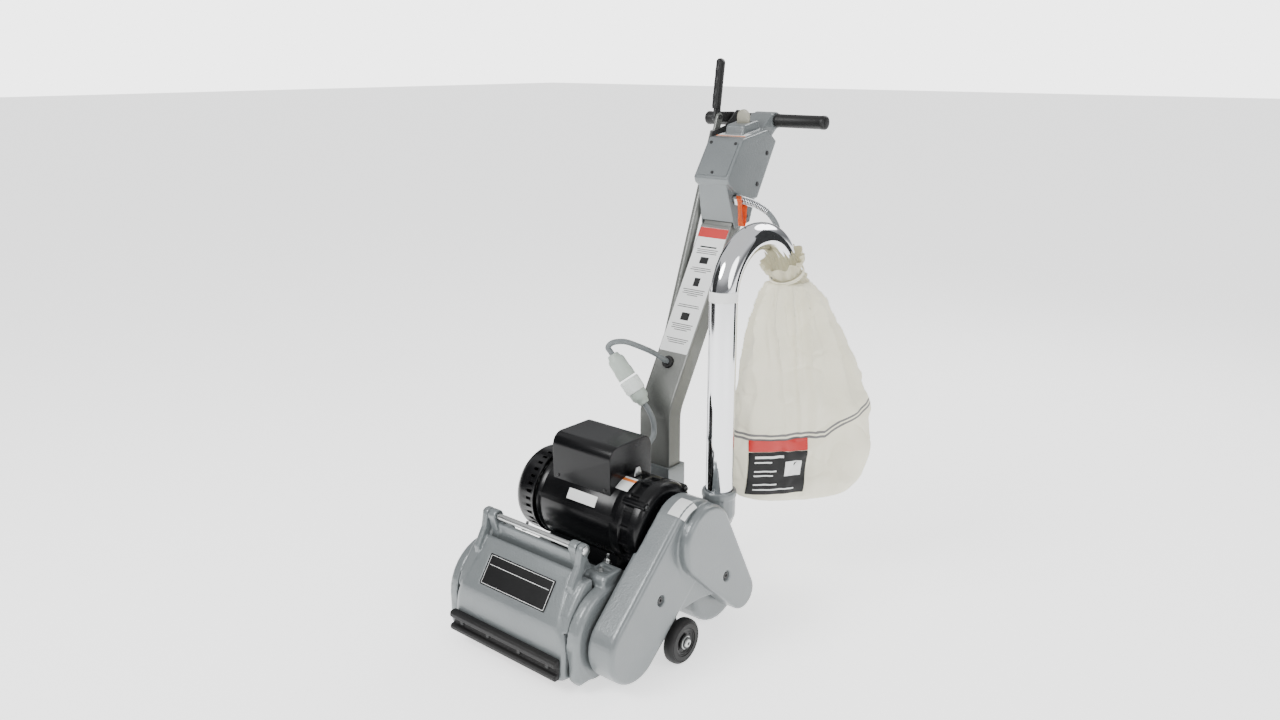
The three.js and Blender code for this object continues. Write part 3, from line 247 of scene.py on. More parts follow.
# ---- Finishes.
# Each one is a base colour drifting towards a second tone, with its own grain, gloss and worn edges.
# Grey hammered enamel, gloss black paint, bright and dull metals, rubbers, plastics and paper labels.
def finish(name, tone, second, rough, metal=0.0, scale=400, depth=0.15, relief=grain, worn=0.0,
           worn_tone=(0.55, 0.55, 0.53), coat=0.0, spread=0.12, sheen=0.0, shine=0.5):
    made = bpy.data.materials.new(name)
    made.use_nodes = True
    tree = made.node_tree
    body = tree.nodes["Principled BSDF"]
    body.inputs["Metallic"].default_value = metal
    body.inputs["Coat Weight"].default_value = coat
    body.inputs["Coat Roughness"].default_value = 0.08
    body.inputs["Sheen Weight"].default_value = sheen
    body.inputs["Specular IOR Level"].default_value = shine
    surface = tree.nodes.new("ShaderNodeGroup")
    surface.node_tree = relief
    surface.inputs["Scale"].default_value = scale
    surface.inputs["Depth"].default_value = depth
    blend = tree.nodes.new("ShaderNodeMix")
    blend.data_type = "RGBA"
    blend.inputs["A"].default_value = (*tone, 1)
    blend.inputs["B"].default_value = (*second, 1)
    contrast = reckon(tree, "MULTIPLY_ADD", surface.outputs["Patch"], 2.4, -0.7, clamp=True)
    tree.links.new(contrast, blend.inputs["Factor"])
    colour = blend.outputs["Result"]
    gloss = reckon(tree, "MULTIPLY_ADD", surface.outputs["Patch"], spread, rough - spread / 2, clamp=True)
    if worn:
        edges = tree.nodes.new("ShaderNodeGroup")
        edges.node_tree = wear
        edges.inputs["Amount"].default_value = worn
        bare = tree.nodes.new("ShaderNodeMix")
        bare.data_type = "RGBA"
        bare.inputs["B"].default_value = (*worn_tone, 1)
        tree.links.new(edges.outputs["Mask"], bare.inputs["Factor"])
        tree.links.new(colour, bare.inputs["A"])
        colour = bare.outputs["Result"]
    tree.links.new(colour, body.inputs["Base Color"])
    tree.links.new(gloss, body.inputs["Roughness"])
    tree.links.new(surface.outputs["Normal"], body.inputs["Normal"])
    return made


enamel = finish("grey_enamel", (0.15, 0.165, 0.17), (0.18, 0.197, 0.20), 0.34, metal=0.25, scale=330,
                depth=0.35, relief=hammered, worn=0.3, worn_tone=(0.42, 0.43, 0.43), coat=0.3)
post_enamel = finish("post_enamel", (0.115, 0.12, 0.112), (0.145, 0.15, 0.14), 0.38, metal=0.25, scale=330,
                     depth=0.3, relief=hammered, worn=0.3, coat=0.3)
gloss_black = finish("gloss_black_paint", (0.0022, 0.0024, 0.003), (0.004, 0.004, 0.0045), 0.26, scale=120,
                     depth=0.05, worn=0.2, worn_tone=(0.06, 0.06, 0.06), spread=0.08, shine=0.3)
black_steel = finish("black_steel", (0.018, 0.019, 0.02), (0.03, 0.03, 0.03), 0.42, metal=0.3, worn=0.5,
                     worn_tone=(0.25, 0.25, 0.25))
chrome = finish("chrome_plate", (0.83, 0.84, 0.86), (0.78, 0.79, 0.81), 0.07, metal=1.0, scale=60,
                depth=0.01, spread=0.05)
bright_steel = finish("bright_steel", (0.62, 0.63, 0.63), (0.48, 0.49, 0.48), 0.3, metal=1.0, scale=700,
                      depth=0.08)
raw_alloy = finish("raw_alloy", (0.42, 0.43, 0.43), (0.33, 0.33, 0.33), 0.5, metal=0.9, scale=500, depth=0.25)
rubber = finish("black_rubber", (0.006, 0.006, 0.0065), (0.013, 0.0125, 0.012), 0.5, scale=900, depth=0.2,
                shine=0.3)
grip_rubber = finish("grip_rubber", (0.005, 0.005, 0.0055), (0.01, 0.01, 0.01), 0.45, scale=1100, depth=0.25,
                     shine=0.35)
black_plastic = finish("black_plastic", (0.006, 0.006, 0.0065), (0.01, 0.01, 0.01), 0.35, scale=900,
                       depth=0.1,
                       shine=0.35)
plug_grey = finish("connector_shell", (0.42, 0.47, 0.42), (0.35, 0.40, 0.36), 0.45, scale=800, depth=0.1)
plug_pale = finish("connector_collar", (0.74, 0.78, 0.75), (0.66, 0.70, 0.67), 0.42, scale=800, depth=0.1)
cable_grey = finish("cable_jacket", (0.13, 0.145, 0.15), (0.17, 0.185, 0.19), 0.5, scale=1200, depth=0.12)
beige = finish("beige_paddle", (0.34, 0.33, 0.26), (0.28, 0.27, 0.22), 0.42, scale=800, depth=0.1)
orange = finish("orange_strap", (0.80, 0.16, 0.03), (0.65, 0.11, 0.02), 0.6, scale=1500, depth=0.35)
grit = finish("abrasive_cloth", (0.16, 0.065, 0.03), (0.11, 0.045, 0.022), 0.9, scale=2200, depth=1.0)
drum_rubber = finish("drum_facing", (0.035, 0.032, 0.03), (0.05, 0.045, 0.04), 0.8, scale=900, depth=0.3)
label_white = finish("white_label", (0.78, 0.79, 0.78), (0.72, 0.73, 0.72), 0.35, scale=500, depth=0.03)
label_black = finish("black_label", (0.005, 0.005, 0.0055), (0.009, 0.009, 0.009), 0.4, scale=500, depth=0.04,
                     shine=0.25)
label_red = finish("red_label", (0.50, 0.014, 0.012), (0.42, 0.012, 0.010), 0.38, scale=500, depth=0.03)
label_orange = finish("orange_label", (0.80, 0.22, 0.04), (0.72, 0.18, 0.03), 0.38, scale=500, depth=0.03)


def coat_node(node, material):
    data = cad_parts[node].data
    data.materials.clear()
    data.materials.append(material)
    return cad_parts[node]


for material, names in (
        (enamel, "truck_frame front_cover belt_guard blower_housing outlet_duct switch_housing"),
        (post_enamel, "handle_post lift_rod"),
        (gloss_black, "motor_shell motor_end_bell fan_cover capacitor_cover motor_base"),
        (black_steel, "wheel_truck lift_lever lever_bracket nameplate cooling_fan lever_pivot_bolt "
                      "rod_clevis_pin"),
        (chrome, "dust_pipe"),
        (bright_steel, "cover_rod drum_shaft drum_bearing_left drum_bearing_right guard_screw_front "
                       "guard_screw_rear wheel_axle caster_fork clamp_bolt_upper clamp_bolt_lower "
                       "handlebar supply_gland motor_rotor"),
        (raw_alloy, "drum_pulley motor_pulley impeller fan_pulley"),
        (rubber, "bumper drive_belt fan_belt wheel_tyre_left wheel_tyre_right caster_wheel cable_grommet"),
        (black_plastic, "wheel_hub_left wheel_hub_right"),
        (grip_rubber, "grip_left grip_right lever_grip"),
        (drum_rubber, "sanding_drum"), (grit, "abrasive_sleeve"), (beige, "switch_paddle"),
        (plug_grey, "connector_socket connector_plug supply_plug"),
        (cable_grey, "control_cable motor_cable supply_cord")):
    for node in names.split():
        coat_node(node, material)

# ---- Cables.
# Three round rubber-jacketed leads of 11 mm: one from the post to the in-line connector, one from the
# connector to the motor's box, and the supply tail that hangs from the switch housing behind the bag.
CORD_WIDTH = 0.011


def flowing(points, steps):
    """A smooth line through the points, whose bends ease with the distance between them."""
    points = [Vector(p) for p in points]
    points = [2 * points[0] - points[1], *points, 2 * points[-1] - points[-2]]
    line = []
    for a, b, c, d in zip(points, points[1:], points[2:], points[3:]):
        ta = 0.0
        tb = ta + (b - a).length ** 0.5
        tc = tb + (c - b).length ** 0.5
        td = tc + (d - c).length ** 0.5
        for k in range(steps):
            t = tb + (tc - tb) * k / steps
            ab = a.lerp(b, (t - ta) / (tb - ta))
            bc = b.lerp(c, (t - tb) / (tc - tb))
            cd = c.lerp(d, (t - tc) / (td - tc))
            abc = ab.lerp(bc, (t - ta) / (tc - ta))
            bcd = bc.lerp(cd, (t - tb) / (td - tb))
            line.append(abc.lerp(bcd, (t - tb) / (tc - tb)))
    return [*line, points[-2]]


def round_line(name, line, radius, resolution):
    """A round rod or wire along the points; gives its object and its one spline."""
    data = bpy.data.curves.new(name, "CURVE")
    data.dimensions, data.bevel_depth, data.bevel_resolution = "3D", radius, resolution
    data.use_fill_caps = True
    spline = data.splines.new("POLY")
    spline.points.add(len(line) - 1)
    for point, p in zip(spline.points, line):
        point.co = (*p, 1)
    return placed(name, data), spline


def lead(name, route, width, material, steps=6):
    line = flowing([at(*p) for p in route], steps)
    made, spline = round_line(name, line, width / 2, 4)
    spline.use_smooth = True
    made.data.materials.append(material)
    return made, sum((b - a).length for a, b in zip(line, line[1:]))


post_route = [(-3, 361, 465), (-4, 350, 472), (-10, 330, 487), (-24, 300, 505), (-44, 275, 517),
              (-60, 258, 514.5), (-65.6, 253.3, 505.5), (-61.5, 254.6, 499.4), (-52.5, 257.4, 486.6),
              (-47.9, 258.8, 480.1)]
motor_route = [(28, 208.5, 320), (28, 236, 320), (28, 260, 323.5), (28, 277, 335), (26, 284, 345),
               (23, 284, 368), (15, 279, 390), (6.5, 275.5, 403), (2, 274.2, 409.5)]
supply_route = [(37, 523.1, 773.9), (60, 524.7, 772.9), (86, 530, 766), (110, 538, 750), (124, 548, 722),
                (116, 560, 680), (104, 570, 630), (98, 574, 560), (96, 575, 480), (96, 575, 372)]
for name, node, route, ends, pieces in (
        ("post_lead", "control_cable", post_route, "connector", ["connector_socket", "cable_grommet"]),
        ("motor_lead", "motor_cable", motor_route, "connector", ["connector_plug"]),
        ("supply_tail", "supply_cord", supply_route, "plug", ["supply_plug", "supply_gland"])):
    cord, long = lead(name, route, CORD_WIDTH, cable_grey)
    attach(cord, "machine")
    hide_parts(node)


def piece(name, shape, body, material, sharp=34, stands_for=()):
    """A visible piece of one material on one body and the CAD nodes it stands for."""
    mesh = mesh_of(name, shape) if isinstance(shape, bmesh.types.BMesh) else shape
    mesh.name = name
    mesh.shade_smooth()
    mesh.set_sharp_from_angle(angle=math.radians(sharp))
    mesh.materials.clear()
    mesh.materials.append(material)
    made = placed(name, mesh)
    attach(made, body)
    if stands_for:
        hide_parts(*stands_for)
    return made


def worked(shape, *steps):
    """The mesh that a shape becomes after modifiers, each given as (kind, settings)."""
    mesh = mesh_of("work", shape)
    holder = placed("work", mesh)
    for kind, settings in steps:
        modifier = holder.modifiers.new(kind, kind)
        for key, value in settings.items():
            setattr(modifier, key, value)
    result = bpy.data.meshes.new_from_object(settled(holder))
    bpy.data.objects.remove(holder)
    bpy.data.meshes.remove(mesh)
    return result


def cast_skin(shape, cell, ease=6, keep=0.35):
    """A shape's skin with a casting's radius on every edge: cells of that size in mm, then eased."""
    return worked(shape, ("REMESH", dict(mode="VOXEL", voxel_size=cell / 1000)),
                  ("SMOOTH", dict(factor=0.5, iterations=ease)),
                  ("DECIMATE", dict(ratio=keep)))


def merged_copy(node):
    shape = bmesh.new()
    shape.from_mesh(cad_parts[node].data)
    bmesh.ops.remove_doubles(shape, verts=shape.verts, dist=2e-6)
    return shape


piece("frame_casting", cast_skin(merged_copy("truck_frame"), 2.0, ease=5, keep=0.3), "machine", enamel,
      stands_for=["truck_frame"])


# The stud with its nut beside each ear holds the hood, and a hex bolt sits in the recess of each block.
def lathe(profile, centre, axis=(1, 0, 0), steps=48, closed=False):
    """(radius, distance) points in mm turned about an axis through the centre."""
    axis = Vector(axis).normalized()
    side = axis.orthogonal().normalized()
    shape = bmesh.new()
    verts = [shape.verts.new(centre + (axis * d + side * r) / 1000) for r, d in profile]
    pairs = list(zip(verts, verts[1:])) + ([(verts[-1], verts[0])] if closed else [])
    edges = [shape.edges.new(pair) for pair in pairs]
    bmesh.ops.spin(shape, geom=verts + edges, cent=centre, axis=axis, angle=math.tau, steps=steps,
                   use_merge=True)
    bmesh.ops.remove_doubles(shape, verts=shape.verts, dist=1e-6)
    bmesh.ops.dissolve_degenerate(shape, dist=1e-7, edges=shape.edges)
    bmesh.ops.recalc_face_normals(shape, faces=shape.faces)
    return shape


def together(*shapes):
    """Several shapes as one."""
    mesh = bpy.data.meshes.new("together")
    whole = bmesh.new()
    for shape in shapes:
        shape.to_mesh(mesh)
        shape.free()
        whole.from_mesh(mesh)
    bpy.data.meshes.remove(mesh)
    return whole


def bolt_head(centre, axis, across, high, shank=0, washer=0):
    """A hexagon head with its washer; it sits on the centre and stands out along the axis."""
    parts = [lathe([(0, 0), (across * 0.577, 0), (across * 0.577, high * 0.8), (across * 0.5, high),
                    (0, high)],
                   centre, axis, steps=6)]
    if washer:
        parts.append(lathe([(0, -0.2), (washer, -0.2), (washer, 1.2), (0, 1.2)], centre, axis, steps=28))
    if shank:
        parts.append(lathe([(0, 0), (across * 0.27, 0), (across * 0.27, high + shank - 1),
                            (across * 0.2, high + shank), (0, high + shank)], centre, axis, steps=16))
    return together(*parts)


fixings = [bolt_head(at(side * 127, 15, 187.2), (0, 0, 1), 9, 4.5, washer=6.5) for side in (-1, 1)]
fixings += [bolt_head(at(side * 104, 57, 178), (0, 0.25, 1), 11, 7, shank=10, washer=9) for side in (-1, 1)]
piece("hood_bolts", together(*fixings), "machine", bright_steel)


# ---- Front cover.
# A cast cover over the front of the drum, hinged on the bright rod between the frame's ears.
piece("cover_casting", cast_skin(merged_copy("front_cover"), 1.6, ease=8, keep=0.35), "cover", enamel,
      stands_for=["front_cover"])
piece("hinge_rod", lathe([(0, -129), (5, -129), (8.6, -127.4), (9, -126), (6, -125.8), (6, 125.8), (9, 126),
                          (8.6, 127.4), (5, 129), (0, 129)], at(0, -20.6, 237), steps=32), "cover",
                          bright_steel,
      stands_for=["cover_rod"])

# The nameplate is a thin black plate with a raised pale border and a rule across it, and no lettering.
slope = math.radians(55.5)
plate_middle = at(0, -67.3, 154.3)
plate_down = Vector((0, -math.cos(slope), -math.sin(slope)))
plate_off = Vector((0, -math.sin(slope), math.cos(slope)))


def tile(middle, across, down, off, wide, tall, thick, corner=0.0, lift=0.0, arc_steps=4):
    """A thin flat plate in mm: its middle, two directions along it, one off it, and rounded corners."""
    shape = bmesh.new()
    corner = max(corner, 0.01)
    points = []
    for sx, sy, a0 in ((1, 1, 0), (-1, 1, 90), (-1, -1, 180), (1, -1, 270)):
        for k in range(arc_steps + 1):
            a = math.radians(a0 + 90 * k / arc_steps)
            points.append(middle + (across * (sx * (wide / 2 - corner) + corner * math.cos(a))
                                    + down * (sy * (tall / 2 - corner) + corner * math.sin(a))
                                    + off * lift) / 1000)
    face = shape.faces.new([shape.verts.new(p) for p in points])
    grown = bmesh.ops.extrude_face_region(shape, geom=[face])
    top = [v for v in grown["geom"] if isinstance(v, bmesh.types.BMVert)]
    bmesh.ops.translate(shape, verts=top, vec=off * thick / 1000)
    bmesh.ops.recalc_face_normals(shape, faces=shape.faces)
    return shape


X = Vector((1, 0, 0))
piece("name_plate", tile(plate_middle, X, plate_down, plate_off, 165.6, 57.6, 1.0, corner=2, lift=-1.1),
      "cover",
      label_black, stands_for=["nameplate"])
border = []
for along, wide, tall in ((-26.2, 158, 0.8), (26.2, 158, 0.8), (-9.5, 150, 0.9)):
    border.append(tile(plate_middle + plate_down * along / 1000, X, plate_down, plate_off, wide, tall, 0.35,
                       lift=-0.15))
for side in (-1, 1):
    border.append(tile(plate_middle + X * side * 79 / 1000, X, plate_down, plate_off, 0.8, 53.2, 0.35,
                       lift=-0.15))
piece("name_plate_border", together(*border), "cover", label_white)

# ---- Bumper.
# A black rubber strip with two rounded lips, fixed along the cover's lower edge.
piece("bumper_strip", cast_skin(merged_copy("bumper"), 1.2, ease=5, keep=0.3), "cover", rubber,
      stands_for=["bumper"])
bumper_screws = [bolt_head(at(x, -104.5, 47.8), (0, -1, 0), 8, 2.6, washer=5) for x in (-110, -40, 40, 110)]
piece("bumper_screws", together(*bumper_screws), "cover", black_steel)

# ---- Motor.
# A totally enclosed motor in gloss black: a rolled shell, a cast end bell towards the belts, a pressed fan
# cover with a ring of air slots, and the capacitor's box on top. It lies across the deck on a saddle.
motor_y, motor_z, motor_r = 152, 232, 82.5
motor_axis = at(0, motor_y, motor_z)


def arc_points(y, z, r, a0, a1, steps):
    return [(y + r * math.cos(math.radians(a0 + (a1 - a0) * k / steps)),
             z + r * math.sin(math.radians(a0 + (a1 - a0) * k / steps))) for k in range(steps + 1)]


def slab(points, x0, x1, rounded=0.0, steps=4):
    """An outline of (y, z) points carried along the drum's line from x0 to x1, with rounded rims."""
    shape = bmesh.new()
    face = shape.faces.new([shape.verts.new(at(x0, y, z)) for y, z in points])
    rims = list(face.edges)
    grown = bmesh.ops.extrude_face_region(shape, geom=[face])
    far = [v for v in grown["geom"] if isinstance(v, bmesh.types.BMVert)]
    rims += [e for e in grown["geom"] if isinstance(e, bmesh.types.BMEdge)]
    bmesh.ops.translate(shape, verts=far, vec=X * (x1 - x0) / 1000)
    bmesh.ops.recalc_face_normals(shape, faces=shape.faces)
    if rounded:
        bmesh.ops.bevel(shape, geom=rims, offset=rounded / 1000, offset_type="OFFSET", segments=steps,
                        profile=0.5, affect="EDGES", clamp_overlap=True, material=-1)
    return shape


def carved(shape, tools, operation="DIFFERENCE"):
    """The shape with each tool joined to it or cut out of it, one after another."""
    holder = placed("carved", mesh_of("carved", shape))
    helpers = []
    for k, tool in enumerate(tools):
        helper = placed("tool", mesh_of("tool", tool))
        modifier = holder.modifiers.new(f"cut_{k}", "BOOLEAN")
        modifier.operation, modifier.object, modifier.solver = operation, helper, "MANIFOLD"
        helpers.append(helper)
    ready = settled(holder)
    result = bmesh.new()
    result.from_mesh(ready.to_mesh())
    ready.to_mesh_clear()
    for spare in [holder, *helpers]:
        spare_mesh = spare.data
        bpy.data.objects.remove(spare)
        bpy.data.meshes.remove(spare_mesh)
    return result


def round_motor(shape, degrees):
    """The shape swung round the motor's axis."""
    turn = Matrix.Rotation(math.radians(degrees), 4, "X")
    bmesh.ops.transform(shape, verts=shape.verts,
                        matrix=Matrix.Translation(motor_axis) @ turn @ Matrix.Translation(-motor_axis))
    return shape


# The shell is rolled sheet with two swaged rings and a lap seam; its inside carries the stator.
shell_profile = [(12, -90), (motor_r - 3, -90), (motor_r, -87), (motor_r, -80), (motor_r - 1.2, -78),
                 (motor_r - 1.2, -75), (motor_r, -73), (motor_r, 92), (motor_r - 1.2, 94),
                 (motor_r - 1.2, 97),
                 (motor_r, 99), (motor_r, 110), (motor_r - 5, 110), (motor_r - 5, 78), (52, 78), (52, -48),
                 (motor_r - 5, -48), (motor_r - 5, -83), (12, -83)]
shell = lathe(shell_profile, motor_axis, steps=96, closed=True)
seam = slab([(motor_y - motor_r * math.cos(math.radians(a)) * g,
              motor_z - motor_r * math.sin(math.radians(a)) * g)
             for a, g in ((-13, 0.99), (-13, 1.006), (-19, 1.006), (-19, 0.99))], -84, 104, rounded=0.2,
             steps=2)
piece("motor_casing", together(shell, seam), "machine", gloss_black, stands_for=["motor_shell"])

# The end bell is a dished casting with eight ribs and four lugs for the through bolts.
bell = lathe([(10, 166), (64, 166), (70, 165.2), (77, 162.6), (81, 159), (motor_r, 154.5), (motor_r, 141),
              (motor_r - 1.5, 139), (motor_r - 5, 137.5), (motor_r - 5, 121), (motor_r - 1.5, 119),
              (motor_r, 117), (motor_r, 110.3), (motor_r - 8, 110.3), (motor_r - 10, 150), (38, 156),
              (10, 156)],
             motor_axis, steps=96, closed=True)
ribs, lugs, through_bolts = [], [], []
for k in range(16):
    rib = slab([(motor_y + 74, motor_z - 2.2), (motor_y + 81.6, motor_z - 2.2),
                (motor_y + 81.6, motor_z + 2.2),
                (motor_y + 74, motor_z + 2.2)], 116, 142, rounded=1.2, steps=2)
    ribs.append(round_motor(rib, 11.25 + 22.5 * k))
for a in (45, 135, 225, 315):
    spot = (motor_y + 79 * math.cos(math.radians(a)), motor_z + 79 * math.sin(math.radians(a)))
    lugs.append(lathe([(0, 113), (7.6, 113), (8, 114), (8, 161), (7, 162.5), (0, 162.5)], at(0, *spot),
                      steps=24))
    through_bolts.append(bolt_head(at(162.3, *spot), (1, 0, 0), 8, 4.5))
piece("motor_bell", carved(bell, lugs + ribs, "UNION"), "machine", gloss_black, sharp=30,
      stands_for=["motor_end_bell"])
piece("motor_through_bolts", together(*through_bolts), "machine", black_steel)

# The fan cover is pressed from sheet: a deep dome with a rolled edge and a ring of short slots.
cover_r = motor_r + 2
dome = lathe([(0, -156), (34, -155.8), (50, -155.4), (60, -153.9), (68, -151.2), (74.5, -147), (79.5, -141.5),
              (82.8, -135.5), (cover_r, -128.5), (cover_r, -96.5), (cover_r + 1, -95), (cover_r, -94),
              (cover_r - 2.2, -94), (cover_r - 2.2, -128.5), (80.6, -134.8), (77.6, -140.2), (72.9, -145.3),
              (66.8, -149.2), (59.2, -151.8), (49.7, -153.2), (34, -153.6), (0, -153.8)], motor_axis,
              steps=96)
slots = []
for k in range(36):
    slot_cut = slab([(motor_y - 2.6, motor_z + cover_r - 7), (motor_y + 2.6, motor_z + cover_r - 7),
                     (motor_y + 2.6, motor_z + cover_r + 7), (motor_y - 2.6, motor_z + cover_r + 7)],
                    -113, -102)
    slots.append(round_motor(slot_cut, 5 + 10 * k))
piece("fan_shroud", carved(dome, [together(*slots)]), "machine", gloss_black, stands_for=["fan_cover"])

# The capacitor's box has a deeply rounded top and a rolled flange where it meets the shell.
box_outline = [(91, 262), (91, 354), *arc_points(114, 354, 23, 180, 90, 10),
               *arc_points(185, 354, 23, 90, 0, 10), (208, 280), (208, 262)]
hollow_below = lathe([(0, -130), (motor_r + 1, -130), (motor_r + 1, 130), (0, 130)], motor_axis, steps=96)
piece("capacitor_box", carved(slab(box_outline, -61, 82, rounded=7.5, steps=5), [hollow_below]), "machine",
      gloss_black, stands_for=["capacitor_cover"])
box_screws = [bolt_head(at(x, 91, 296), (0, -1, 0), 5.5, 2) for x in (-48, 69)]
piece("capacitor_box_screws", together(*box_screws), "machine", black_steel)
clip = slab([(141, 315), (159, 315), (159, 320), (155, 331), (145, 331), (141, 320)], 96, 99, rounded=0.8,
            steps=2)
piece("shell_clip", clip, "machine", bright_steel)


# Two paper stickers lie on the shell: a plain white one and a white one with an orange edge.
def wrapped(middle_angle, x, wide, tall, thick, lift, tilt=0.0, steps=12):
    """A sticker bent round the motor's shell, at an angle round the axis and a place along it."""
    shape = bmesh.new()
    bmesh.ops.create_grid(shape, x_segments=2, y_segments=steps, size=0.5)
    lean_round = Matrix.Rotation(tilt, 4, "Z")
    for v in shape.verts:
        flat = lean_round @ Vector((v.co.x * wide, v.co.y * tall, 0))
        a = math.radians(middle_angle) + flat.y / motor_r
        r = motor_r + lift
        v.co = motor_axis + Vector((x + flat.x, r * math.cos(a), r * math.sin(a))) / 1000
    bmesh.ops.solidify(shape, geom=shape.faces[:], thickness=thick / 1000)
    bmesh.ops.recalc_face_normals(shape, faces=shape.faces)
    return shape


piece("motor_sticker_white", wrapped(150, 22, 70, 20, 0.25, 0.15), "machine", label_white)
piece("motor_sticker_pale", wrapped(112, 96 - 8, 44, 34, 0.25, 0.15), "machine", label_white)
piece("motor_sticker_edge", wrapped(106, 96 - 8, 44, 7, 0.25, 0.3), "machine", label_orange)

# ---- Belt guard.
# A cast cover over both belts. The lower level runs from the drum to the motor; the raised level carries
# on down to the blower. Two deep screw wells and a joint line mark its face.
guard_low, guard_low_r, guard_top, guard_top_r = (-5, 81), 66, (157, 228), 70
guard_lobe, guard_lobe_r, guard_tail, guard_tail_r = (170, 222), 66, (285, 73), 34
guard_inner, guard_face, guard_raised, guard_outer, guard_wall = 169, 227.7, 200, 248, 4


def band(c1, r1, c2, r2, steps=22):
    """The outline stretched round two circles."""
    dy, dz = c2[0] - c1[0], c2[1] - c1[1]
    heading = math.degrees(math.atan2(dz, dy))
    opening = math.degrees(math.acos((r1 - r2) / math.hypot(dy, dz)))
    return [*arc_points(*c1, r1, heading + opening, heading + 360 - opening, steps),
            *arc_points(*c2, r2, heading - opening, heading + opening, steps)]


skirt = [(60, 56), (84, 77), (112, 100), (171, 100), (214, 92), (230, 150), (150, 228), (40, 150)]
inner_skirt = [(y + (130 - y) * guard_wall / 70, z + (130 - z) * guard_wall / 40) for y, z in skirt]
guard_body = carved(slab(band(guard_low, guard_low_r, guard_top, guard_top_r), guard_inner, guard_face,
                         rounded=9, steps=6),
                    [slab(skirt, guard_inner + 0.1, guard_face - 1.2, rounded=1),
                     slab(band(guard_lobe, guard_lobe_r, guard_tail, guard_tail_r), guard_raised, guard_outer,
                          rounded=8, steps=6)], "UNION")
wells = [(59.5, 144.4, guard_face), (226, 131.5, guard_outer)]
hollows = [
    slab(band(guard_low, guard_low_r - guard_wall, guard_top, guard_top_r - guard_wall), guard_inner - 5,
         guard_face - guard_wall),
    slab(inner_skirt, guard_inner - 6, guard_face - guard_wall - 1.2),
    slab(band(guard_lobe, guard_lobe_r - guard_wall, guard_tail, guard_tail_r - guard_wall), guard_inner - 7,
         guard_outer - guard_wall),
    # Room for the motor's end, the blower and the outlet.
    slab([(28, 246), (120, 150), (260, 150), (260, 330), (100, 330)], guard_inner - 8, 178),
    slab([(187, 0), (330, 0), (330, 180), (187, 180)], guard_inner - 9, 199),
    slab([(238, 175), (330, 175), (330, 290), (238, 290)], guard_inner - 10, 226.4),
    slab([(152, 164.1), (275, 164.1), (275, 166.3), (152, 166.3)], guard_outer - 1.6, guard_outer + 3),
]
guard_body = carved(guard_body, hollows)
guard_body = carved(guard_body, [lathe([(0, x - 14), (12, x - 14), (12, x - 2), (0, x - 2)], at(0, y, z))
                                 for y, z, x in wells], "UNION")
guard_body = carved(guard_body, [lathe([(0, x - 7), (9, x - 7), (10.5, x + 0.5), (14, x + 3), (0, x + 3)],
                                       at(0, y, z))
                                 for y, z, x in wells])
piece("guard_casting", cast_skin(guard_body, 1.5, ease=9, keep=0.35), "machine", enamel,
      stands_for=["belt_guard"])
for k, (y, z, x) in enumerate(wells):
    head = carved(lathe([(0, x - 6.7), (6.5, x - 6.7), (6.5, x - 3), (5.8, x - 2.2), (0, x - 2.2)],
                        at(0, y, z),
                        steps=32), [lathe([(0, x - 4.6), (3, x - 4.6), (3, x), (0, x)], at(0, y, z),
                                          steps=6)])
    piece(("guard_screw_head_front", "guard_screw_head_rear")[k], head, "machine", black_steel,
          stands_for=[("guard_screw_front", "guard_screw_rear")[k]])

# A plain white label is wrapped over the top rim of the lower level.
rim_label = bmesh.new()
bmesh.ops.create_grid(rim_label, x_segments=6, y_segments=12, size=0.5)
for v in rim_label.verts:
    a = math.radians(130 - 36 * (v.co.y + 0.5))
    across = guard_face - 30 + 34 * (v.co.x + 0.5)
    over = max(0.0, across - (guard_face - 9))
    r = guard_top_r + 0.3 - (9 - math.sqrt(max(0.0, 81 - over * over)))
    v.co = at(across, guard_top[0] + r * math.cos(a), guard_top[1] + r * math.sin(a))
bmesh.ops.solidify(rim_label, geom=rim_label.faces[:], thickness=0.00015)
bmesh.ops.recalc_face_normals(rim_label, faces=rim_label.faces)
piece("guard_label", rim_label, "machine", label_white)

# ---- Blower, its outlet and the dust pipe.
# The scroll and its outlet are cast; the pipe is bright chromed tube pushed into the outlet's collar.
piece("blower_casting", cast_skin(merged_copy("blower_housing"), 1.8, ease=5, keep=0.3), "machine", enamel,
      stands_for=["blower_housing"])
piece("outlet_casting", cast_skin(merged_copy("outlet_duct"), 1.4, ease=7, keep=0.35), "machine", enamel,
      stands_for=["outlet_duct"])

pipe_x, pipe_y, pipe_r = 194, 271, 25.4
pipe_low, pipe_bend_z, pipe_bend_r, pipe_turn, pipe_tail = 236, 634, 102, 150, 34
pipe = bmesh.new()
bmesh.ops.create_circle(pipe, cap_ends=False, radius=pipe_r / 1000, segments=64,
                        matrix=Matrix.Translation(at(pipe_x, pipe_y, pipe_low)))
ring = pipe.edges[:]


def skinned(shape, rings):
    """Quads between each closed ring of verts and the next."""
    for low, high in zip(rings, rings[1:]):
        for j in range(len(low)):
            after = (j + 1) % len(low)
            shape.faces.new((low[j], low[after], high[after], high[j]))


def drawn_out(shape, edges, way):
    """The open ring carried on by a straight stretch; gives the new ring's edges."""
    grown = bmesh.ops.extrude_edge_only(shape, edges=edges)["geom"]
    bmesh.ops.translate(shape, verts=[v for v in grown if isinstance(v, bmesh.types.BMVert)], vec=way)
    return [e for e in grown if isinstance(e, bmesh.types.BMEdge)]


